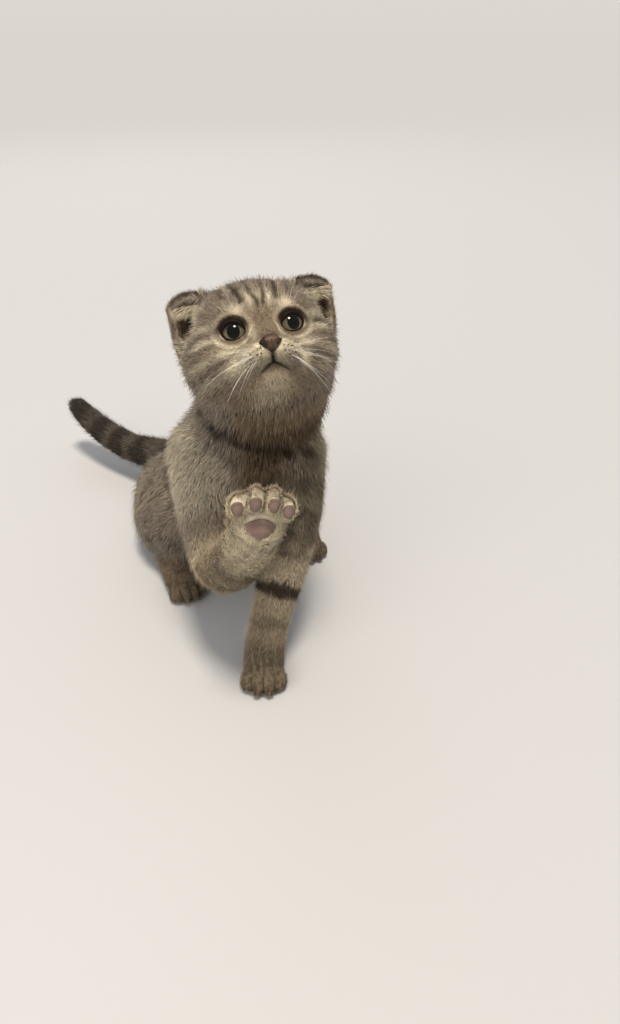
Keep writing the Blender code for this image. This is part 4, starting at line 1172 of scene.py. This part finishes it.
def iris_material(name, side):
    """Iris, pupil and dark edge round the line of sight, the lid's shadow painted above, under a wet clear coat."""
    material, tree, shader = new_material(name, 0.35)
    inverse = gaze_matrix(side).inverted()
    spot = add_node(tree, "ShaderNodeTexCoord").outputs["Object"]
    centred = add_node(tree, "ShaderNodeMapping", Vector=spot, Location=inverse.translation,
                       Rotation=inverse.to_euler())
    axes = add_node(tree, "ShaderNodeSeparateXYZ", Vector=centred)
    flat = add_node(tree, "ShaderNodeCombineXYZ", Y=axes.outputs["Y"], Z=axes.outputs["Z"])
    radius = add_node(tree, "ShaderNodeVectorMath", {"operation": "LENGTH"}, _0=flat).outputs["Value"]
    angle = add_node(tree, "ShaderNodeMath", {"operation": "ARCTAN2"}, _0=axes.outputs["Y"], _1=axes.outputs["Z"])
    # Spokes about 0.25 mm wide: 60 round the iris, stretched along the radius.
    spokes = add_node(tree, "ShaderNodeCombineXYZ", X=angle, Y=radius)
    spokes = add_node(tree, "ShaderNodeMapping", Vector=spokes, Scale=(9.5, 160.0, 1.0))
    fibre = add_node(tree, "ShaderNodeTexNoise", Vector=spokes, Scale=1.0, Detail=3.0)
    ring = add_node(tree, "ShaderNodeMapRange", SMOOTH, Value=radius, From_Min=4.2 * MM, From_Max=7.3 * MM)
    colour = add_node(tree, "ShaderNodeMix", COLOUR, Factor=ring, A=linear("#68634b"), B=linear("#464131"))
    streak = add_node(tree, "ShaderNodeMapRange", SMOOTH, Value=fibre.outputs["Fac"], From_Min=0.35,
                      From_Max=0.65, To_Max=0.55)
    colour = add_node(tree, "ShaderNodeMix", COLOUR, Factor=streak, A=colour, B=linear("#3b3628"))
    edge = add_node(tree, "ShaderNodeMapRange", SMOOTH, Value=radius, From_Min=5.3 * MM, From_Max=IRIS_HALF * MM)
    colour = add_node(tree, "ShaderNodeMix", COLOUR, Factor=edge, A=colour, B=linear("#14100c"))
    # Painted shadow of the lid and its lashes: the upper part is darkened nearly to the colour of the rim.
    painted_lid_shadow = add_node(tree, "ShaderNodeMapRange", SMOOTH, Value=axes.outputs["Z"], From_Min=-0.8 * MM,
                     From_Max=3.6 * MM, To_Max=0.96)
    colour = add_node(tree, "ShaderNodeMix", COLOUR, Factor=painted_lid_shadow, A=colour, B=linear("#120c08"))
    # The pupil is a little higher than it is wide.
    narrow = add_node(tree, "ShaderNodeMapping", Vector=flat, Scale=(1.0, 1.12, 1.0))
    radius = add_node(tree, "ShaderNodeVectorMath", {"operation": "LENGTH"}, _0=narrow).outputs["Value"]
    pupil = add_node(tree, "ShaderNodeMapRange", SMOOTH, Value=radius, From_Min=(PUPIL_HALF - 0.1) * MM,
                     From_Max=(PUPIL_HALF + 0.35) * MM, To_Min=1.0, To_Max=0.0)
    colour = add_node(tree, "ShaderNodeMix", COLOUR, Factor=pupil, A=colour, B=linear("#040404"))
    tree.links.new(colour.outputs[2], shader.inputs["Base Color"])
    shader.inputs["Coat Weight"].default_value = 1.0
    shader.inputs["Coat Roughness"].default_value = 0.02
    shader.inputs["Coat IOR"].default_value = 1.336
    shader.inputs["Specular IOR Level"].default_value = 0.0
    return material


def add_eye(side, name):
    """One eyeball in its socket, with the clear bulge of the cornea."""
    bpy.ops.object.select_all(action="DESELECT")
    middle = eye_matrix(side).translation
    bpy.ops.mesh.primitive_uv_sphere_add(segments=64, ring_count=40, radius=EYE_RADIUS * MM, location=middle)
    eye = bpy.context.object
    eye.name = name
    select_only(eye)
    bpy.ops.object.transform_apply(location=True, rotation=True, scale=True)
    points = vertex_array(eye)
    local = into(gaze_matrix(side), points)
    ahead = local[:, 0] / EYE_RADIUS
    rise = CORNEA_RISE * eased(ahead, 0.55, 1.0)
    set_points(eye, points + unit(points - np.array(middle)) * (rise * MM)[:, None])
    eye.data.shade_smooth()
    eye.data.materials.append(iris_material(name + " iris under cornea", side))
    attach(eye, "root")
    return eye


for side, node in ((-1, "eye_right"), (1, "eye_left")):
    eye = add_eye(side, node + "_ball")
    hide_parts(node)
    print(eye.name, "looks from", [round(v, 4) for v in eye_matrix(side).translation])

# %% [markdown]
# ## The rims of the lids
#
# The edge of each lid is bare, moist, nearly black skin, about a millimetre thick, and thicker above
# than below, where the dark rim is widened to stand in for the shadow of the lashes as painted shade.
# It fits closely to the ball. A torus is a good start: it is laid round the line of sight, drawn out to
# a rounded almond whose inner corner is pointed, and bent back onto the ball.

# %% Lid rims
LID_TILT = 12.0
# The upper rim is widened well past the lid's own edge, as painted shadow of the lashes.
LID_TOP, LID_BOTTOM = 3.3, 1.0
RIM_SEGMENTS = 72


def lid_outline(angle, side):
    """The edge of the lids at this angle round the eye, in the eye's axes: across and up, in mm."""
    inward = np.clip(-side * np.cos(angle), 0.0, 1.0) ** 9
    across = LID_HALF[0] * np.cos(angle) * (1.0 + 0.34 * inward)
    over = LID_HALF[1] * np.sin(angle) * (1.0 - 0.3 * inward) - 1.3 * inward
    tilt = math.radians(side * LID_TILT)
    return across * math.cos(tilt) - over * math.sin(tilt), over * math.cos(tilt) + across * math.sin(tilt)


lid_skin, lid_tree, lid_shader = new_material("moist bare skin of lids and lips", 0.6)
spot = add_node(lid_tree, "ShaderNodeTexCoord").outputs["Object"]
mottle = add_node(lid_tree, "ShaderNodeTexNoise", Vector=spot, Scale=1.0 / (1.2 * MM), Detail=2.0)
tone = add_node(lid_tree, "ShaderNodeMix", COLOUR, Factor=mottle.outputs["Fac"], A=linear("#0f0906"),
                B=linear("#21150e"))
lid_tree.links.new(tone.outputs[2], lid_shader.inputs["Base Color"])
lid_shader.inputs["Specular IOR Level"].default_value = 0.1

for side, name in ((-1, "lid_rim_right"), (1, "lid_rim_left")):
    bpy.ops.object.select_all(action="DESELECT")
    bpy.ops.mesh.primitive_torus_add(major_segments=RIM_SEGMENTS, minor_segments=12, major_radius=1.0,
                                     minor_radius=0.1)
    rim = bpy.context.object
    rim.name = name
    ring = vertex_array(rim)
    angle = np.arctan2(ring[:, 1], ring[:, 0])
    outward = (np.hypot(ring[:, 0], ring[:, 1]) - 1.0) / 0.1
    ahead = ring[:, 2] / 0.1
    across, over = lid_outline(angle, side)
    thickness = LID_BOTTOM + (LID_TOP - LID_BOTTOM) * eased(over, -LID_HALF[1], LID_HALF[1])
    grow = 1.0 + outward * thickness * 0.75 / np.hypot(across, over)
    across, over = across * grow, over * grow
    on_ball = np.sqrt(np.maximum(EYE_RADIUS ** 2 - across ** 2 - over ** 2, 4.0))
    local = np.stack([on_ball + 0.25 + ahead * thickness * 0.62, across, over], axis=1)
    set_points(rim, out_of(eye_matrix(side), local))
    rim.data.shade_smooth()
    rim.data.materials.append(lid_skin)
    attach(rim, "root")
    print(rim.name, len(rim.data.polygons), "faces")

# %% [markdown]
# ## The nose leather
#
# A cat's nose is bare, pebbled, slightly moist skin in the shape of a rounded triangle, with a comma
# of a nostril at each upper corner and a fine groove down the middle. A sphere is drawn narrower
# towards the bottom, the nostrils are pressed in along short curved lines, and a dark edge follows.
# The nostrils, the leather beside them and the groove are also darkened with painted shade.

# %% Nose leather
NOSE_MIDDLE = (42.5, MUZZLE_SIDE, -11.8)
NOSE_SIZE = (4.6, 6.6, 4.6)
NOSTRIL_LINE = ((2.9, -13.0), (4.4, -11.9), (6.6, -10.7))
NOSTRIL_DEPTH = 2.2

bpy.ops.object.select_all(action="DESELECT")
bpy.ops.mesh.primitive_uv_sphere_add(segments=96, ring_count=64, radius=1.0)
nose = bpy.context.object
nose.name = "nose_leather"
ball = vertex_array(nose)
taper = 0.30 + 0.70 * eased(ball[:, 2], -1.0, 0.35)
local = np.array(NOSE_MIDDLE) + ball * NOSE_SIZE * np.stack([np.ones(len(ball)), taper, np.ones(len(ball))], axis=1)
folded_side = np.abs(local[:, 1] - MUZZLE_SIDE)
hole = distance_to_line(np.stack([folded_side, local[:, 2]], axis=1), NOSTRIL_LINE)
nostril = np.exp(-(hole / 0.85) ** 2) * (ball[:, 0] > 0.0)
wing = np.exp(-((hole - 1.6) / 0.7) ** 2) * (ball[:, 0] > 0.0) * (folded_side > 3.0)
local[:, 0] -= NOSTRIL_DEPTH * nostril - 0.35 * wing
groove = np.exp(-((local[:, 1] - MUZZLE_SIDE) / 0.45) ** 2) * (local[:, 2] < -11.0)
above_nostril = eased(folded_side, 3.4, 4.6) * eased(local[:, 2] + 0.4 * (6.0 - folded_side), -10.6, -9.2)
local[:, 0] -= 2.4 * above_nostril
local[:, 0] -= 0.5 * groove
set_points(nose, out_of(HEAD, local))
nose.data.shade_smooth()
# The dark edge is the leather's own; the nostrils, the leather beside them and the groove get painted shade.
edge_dark = eased(np.hypot(ball[:, 1] * taper, ball[:, 2]), 0.55, 0.98)
painted_nostril_shade = eased(folded_side, 2.4 + 0.5 * eased(local[:, 2], -15.0, -9.0), 4.4)
shade = 1.15 * nostril + 0.55 * edge_dark + 0.4 * groove + 0.95 * painted_nostril_shade
put_attribute(nose.data, "shade", "FLOAT", np.clip(shade, 0.0, 1.0))

leather, leather_tree, leather_shader = new_material("moist pebbled nose leather", 0.48)
spot = add_node(leather_tree, "ShaderNodeTexCoord").outputs["Object"]
shade = add_node(leather_tree, "ShaderNodeAttribute", {"attribute_name": "shade"}).outputs["Fac"]
# The pebbles of nose leather are about 0.35 mm across.
pebbles = add_node(leather_tree, "ShaderNodeTexVoronoi", Vector=spot, Scale=1.0 / (0.35 * MM))
mottle = add_node(leather_tree, "ShaderNodeTexNoise", Vector=spot, Scale=1.0 / (2.0 * MM), Detail=2.0)
tone = add_node(leather_tree, "ShaderNodeMix", COLOUR, Factor=mottle.outputs["Fac"], A=linear("#5a3b2a"),
                B=linear("#3b2519"))
tone = add_node(leather_tree, "ShaderNodeMix", COLOUR, Factor=shade, A=tone, B=linear("#150e0b"))
relief = add_node(leather_tree, "ShaderNodeBump", Strength=0.35, Distance=0.1 * MM,
                  Height=pebbles.outputs["Distance"])
leather_tree.links.new(tone.outputs[2], leather_shader.inputs["Base Color"])
leather_tree.links.new(relief.outputs["Normal"], leather_shader.inputs["Normal"])
leather_shader.inputs["Specular IOR Level"].default_value = 0.5
nose.data.materials.append(leather)
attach(nose, "root")
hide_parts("nose")
print(nose.name, len(nose.data.polygons), "faces")

# %% [markdown]
# ## The lips
#
# Under the nose the upper lip is split, and on both sides its dark edge runs out and down in a soft
# arch. Only a thin line of it shows between the pads and the chin. A curve with a round bevel is
# laid in the groove: rays cast back along the head's forward axis find the skin, so it follows it.

# %% Lips
head_forward = Vector(HEAD.col[0][:3])


def skin_ahead(across, over):
    """The point of the skin, in the head's axes, that faces forward at this place."""
    start = Vector(out_of(HEAD, (90.0, across, over)))
    hit = skin_tree.ray_cast(start, -head_forward)[0]
    return into(HEAD, [hit])[0] if hit is not None else np.array((30.0, across, over))


def add_tube(name, lines, material):
    """Round tubes along lines of (place in the head's axes, half thickness), as one mesh."""
    bpy.ops.object.select_all(action="DESELECT")
    data = bpy.data.curves.new(name, "CURVE")
    data.dimensions = "3D"
    data.bevel_depth = 1.0 * MM
    data.bevel_resolution = 2
    data.use_fill_caps = True
    for line in lines:
        spline = data.splines.new("POLY")
        spline.points.add(len(line) - 1)
        for point, (place, half) in zip(spline.points, line):
            point.co = (*out_of(HEAD, place), 1.0)
            point.radius = half
    tube = bpy.data.objects.new(name, data)
    bpy.context.scene.collection.objects.link(tube)
    select_only(tube)
    bpy.ops.object.convert(target="MESH")
    tube = bpy.context.object
    tube.data.shade_smooth()
    tube.data.materials.clear()
    tube.data.materials.append(material)
    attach(tube, "root")
    return tube


lip_lines = []
steps = np.linspace(0.0, 1.0, 15)
for side in (-1.0, 1.0):
    known = np.array(MOUTH_LINE)
    across = np.interp(steps, np.linspace(0.0, 1.0, len(known)), known[:, 0])
    over = np.interp(steps, np.linspace(0.0, 1.0, len(known)), known[:, 1])
    line = []
    for share, y, z in zip(steps, across, over):
        place = skin_ahead(MUZZLE_SIDE + side * y, z) - np.array((0.05, 0.0, 0.0))
        line.append((place, 0.50 - 0.36 * share ** 1.5))
    lip_lines.append(line)
split = [(skin_ahead(MUZZLE_SIDE, z) - np.array((0.1, 0.0, 0.0)), 0.32) for z in np.linspace(-15.8, -21.0, 7)]
lips = add_tube("lips", lip_lines + [split], lid_skin)
print(lips.name, len(lips.data.polygons), "faces")

# %% [markdown]
# ## Whiskers and brow hairs
#
# A whisker is a stiff, tapered hair several times as thick as the coat's. Cats have about four rows
# on each pad and a few above each eye. Each is a slim tube that leaves the skin outwards and a
# little forward, then sags in a shallow arc. The kitten's are white and about as long as the pad is far
# from the ear.

# %% Whiskers
WHISKER_SEED = 7
# For each row of the pad: the direction its hairs leave in (ahead, out, up), how they sag, and their length.
WHISKER_WAYS = (
    ((0.30, 1.00, 0.16), 0.10, 26.0),
    ((0.34, 0.95, -0.12), 0.22, 29.0),
    ((0.42, 0.66, -0.52), 0.34, 25.0),
)
WHISKER_HALF = 0.095
pick = np.random.default_rng(WHISKER_SEED)
whisker_lines = []


def add_hair(root, way, sag, length, half):
    """One tapered hair from a place in the head's axes, bending down towards its tip."""
    shares = np.linspace(0.0, 1.0, 9)
    whisker_lines.append([(root + length * (way * share + sag * share ** 2), half * (1.0 - 0.85 * share))
                          for share in shares])


for side in (-1.0, 1.0):
    for row, column, across, over in whisker_roots():
        if column == 0:
            continue
        ways_out, droop, length = WHISKER_WAYS[row]
        root = skin_ahead(MUZZLE_SIDE + side * across, over) - np.array((0.8, 0.0, 0.0))
        way = np.array(ways_out) * (1.0, side, 1.0) + (0.06 * (2 - column), 0.0, pick.uniform(-0.10, 0.10))
        sag = np.array((-0.30, 0.0, -droop)) * pick.uniform(0.7, 1.2)
        add_hair(root, unit(way), sag, length * (0.62 + 0.1 * column) * pick.uniform(0.85, 1.1), WHISKER_HALF)
    for across, over, lean in ((12.0, 12.5, -0.1), (14.5, 13.0, 0.1), (17.0, 12.5, 0.35), (19.0, 11.5, 0.6)):
        root = skin_ahead(side * across, over) - np.array((0.6, 0.0, 0.0))
        sag = np.array((-0.35, side * 0.15, -0.05))
        add_hair(root, unit(np.array((0.45, side * lean, 1.0))), sag, pick.uniform(10.0, 15.0), 0.07)

whisker_keratin, whisker_tree, whisker_shader = new_material("white whisker keratin", 0.34)
spot = add_node(whisker_tree, "ShaderNodeTexCoord").outputs["Object"]
cloud = add_node(whisker_tree, "ShaderNodeTexNoise", Vector=spot, Scale=1.0 / (6.0 * MM))
tone = add_node(whisker_tree, "ShaderNodeMix", COLOUR, Factor=cloud.outputs["Fac"], A=linear("#fbf8f2"),
                B=linear("#d9d4ca"))
whisker_tree.links.new(tone.outputs[2], whisker_shader.inputs["Base Color"])
whiskers = add_tube("whiskers", whisker_lines, whisker_keratin)
print(len(whisker_lines), "whiskers and brow hairs,", len(whiskers.data.polygons), "faces")

# %% [markdown]
# ## Dark hairs at the whisker roots
#
# The dots in rows on the pads are short dark hairs that stand round the root of each whisker. They
# are built like the coat's other tufts, a few at each root, and stand a little prouder than the pale
# hair so that it doesn't cover them.

# %% Whisker spots
SPOT_HAIRS = 8
spot_draw = np.random.default_rng(6)
spot_places = []
for side in (-1.0, 1.0):
    for _, _, across, over in whisker_roots():
        for off_across, off_over in spot_draw.normal(0.0, 0.26, (SPOT_HAIRS, 2)):
            spot_places.append(skin_ahead(MUZZLE_SIDE + side * across + off_across, over + off_over))
base = out_of(HEAD, spot_places)
nearest = np.array([root_tree.find(place)[1] for place in base])
normals = root_normals[nearest]
ways, _ = coat_fields(base)
ways = unit(ways - normals * (ways * normals).sum(axis=1, keepdims=True))
sizes = spot_draw.uniform(1.0, 1.4, len(base))[:, None] * MM
spot_marks = np.tile((0.78, 0.0, 0.5), (len(base), 1))
tuft_mesh("coat_whisker_spots", base, normals, base + ways * sizes * 0.45 + normals * sizes * 0.7,
          base + ways * sizes + normals * sizes * 0.85, np.cross(normals, ways), np.full(len(base), 0.36 * MM),
          root_uv[nearest], spot_marks, spot_draw.uniform(0.3, 0.5, len(base)))

# %% [markdown]
# ## Pads of the raised palm, and claws
#
# The palm that faces forward shows its bare pads: a broad one in the middle and a small one under
# each toe. Each starts as a sphere that is flattened to its size, and they become one piece. A
# kitten's claws lie drawn in, so that only a clear, curved point shows at the end of each toe.

# %% Palm pads and claws
pad_leather, pad_tree, pad_shader = new_material("soft pebbled paw pad", 0.6)
spot = add_node(pad_tree, "ShaderNodeTexCoord").outputs["Object"]
# The pebbles of a kitten's pads are about 0.4 mm across.
pebbles = add_node(pad_tree, "ShaderNodeTexVoronoi", Vector=spot, Scale=1.0 / (0.4 * MM))
mottle = add_node(pad_tree, "ShaderNodeTexNoise", Vector=spot, Scale=1.0 / (3.0 * MM), Detail=2.0)
tone = add_node(pad_tree, "ShaderNodeMix", COLOUR, Factor=mottle.outputs["Fac"], A=linear("#7c675d"),
                B=linear("#5f4d45"))
relief = add_node(pad_tree, "ShaderNodeBump", Strength=0.4, Distance=0.12 * MM, Height=pebbles.outputs["Distance"])
pad_tree.links.new(tone.outputs[2], pad_shader.inputs["Base Color"])
pad_tree.links.new(relief.outputs["Normal"], pad_shader.inputs["Normal"])
pads = []


def palm_surface(ahead, across):
    """How deep the skin of the palm lies at this place, in the raised paw's axes."""
    start = Vector(out_of(RAISED, (ahead, across, -60.0)))
    hit = skin_tree.ray_cast(start, Vector(RAISED.col[2][:3]))[0]
    return into(RAISED, [hit])[0][2] if hit is not None else 99.0


for middle, half, height in PALM_PADS:
    bpy.ops.object.select_all(action="DESELECT")
    bpy.ops.mesh.primitive_uv_sphere_add(segments=32, ring_count=20, radius=1.0)
    pad = bpy.context.object
    ball = vertex_array(pad)
    # The middle pad is narrower towards the toes and has three lobes behind.
    lobed = half[1] > 5.0
    flat = np.stack([ball[:, 0] * (1.0 + 0.15 * lobed * (ball[:, 0] < 0.0) * np.cos(6.6 * ball[:, 1])),
                     ball[:, 1] * (1.0 - 0.30 * lobed * np.maximum(ball[:, 0], 0.0))], axis=1) * half + middle
    ground = np.array([palm_surface(ahead, across) for ahead, across in flat])
    ground = np.minimum(ground, palm_surface(*middle) + 2.5)
    set_points(pad, out_of(RAISED, np.column_stack([flat, ground - height * ball[:, 2]])))
    pads.append(pad)
select_only(*pads)
bpy.ops.object.join()
palm_pads = bpy.context.object
palm_pads.name = "palm_pads"
palm_pads.data.shade_smooth()
palm_pads.data.materials.append(pad_leather)
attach(palm_pads, "root")

claw_lines = []
for matrix, (length, width, height) in PAWS.values():
    for across, ahead, size in TOES:
        tip = np.array(((ahead + 0.30 * size) * length - 1.5, across * width, 0.34 * height * size))
        curve = [(-2.6, 1.0, 0.55), (-1.0, 0.9, 0.5), (0.4, 0.2, 0.36), (1.2, -0.8, 0.2), (1.5, -1.6, 0.06)]
        line = [(into(HEAD, out_of(matrix, tip + (x, 0.0, z))[None])[0], half) for x, z, half in curve]
        claw_lines.append(line)
claw_horn, claw_tree, claw_shader = new_material("clear claw horn", 0.3)
spot = add_node(claw_tree, "ShaderNodeTexCoord").outputs["Object"]
cloud = add_node(claw_tree, "ShaderNodeTexNoise", Vector=spot, Scale=1.0 / (2.0 * MM))
tone = add_node(claw_tree, "ShaderNodeMix", COLOUR, Factor=cloud.outputs["Fac"], A=linear("#b9a995"),
                B=linear("#8a7562"))
claw_tree.links.new(tone.outputs[2], claw_shader.inputs["Base Color"])
claws = add_tube("claws", claw_lines, claw_horn)
print(palm_pads.name, len(palm_pads.data.polygons), "faces;", len(claw_lines), "claws")

# %% [markdown]
# ## Closing
#
# The sizes of the solids and of the visual model are printed side by side. The visual model has to
# stay as large as the solids.

# %% Write the size and finish
visual_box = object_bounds()
for axis, letter in enumerate("XYZ"):
    cad_size = (cad_box[1] - cad_box[0])[axis] / MM
    visual_size = (visual_box[1] - visual_box[0])[axis] / MM
    print(letter, "of the solids", round(cad_size, 1), "mm, of the model", round(visual_size, 1), "mm")
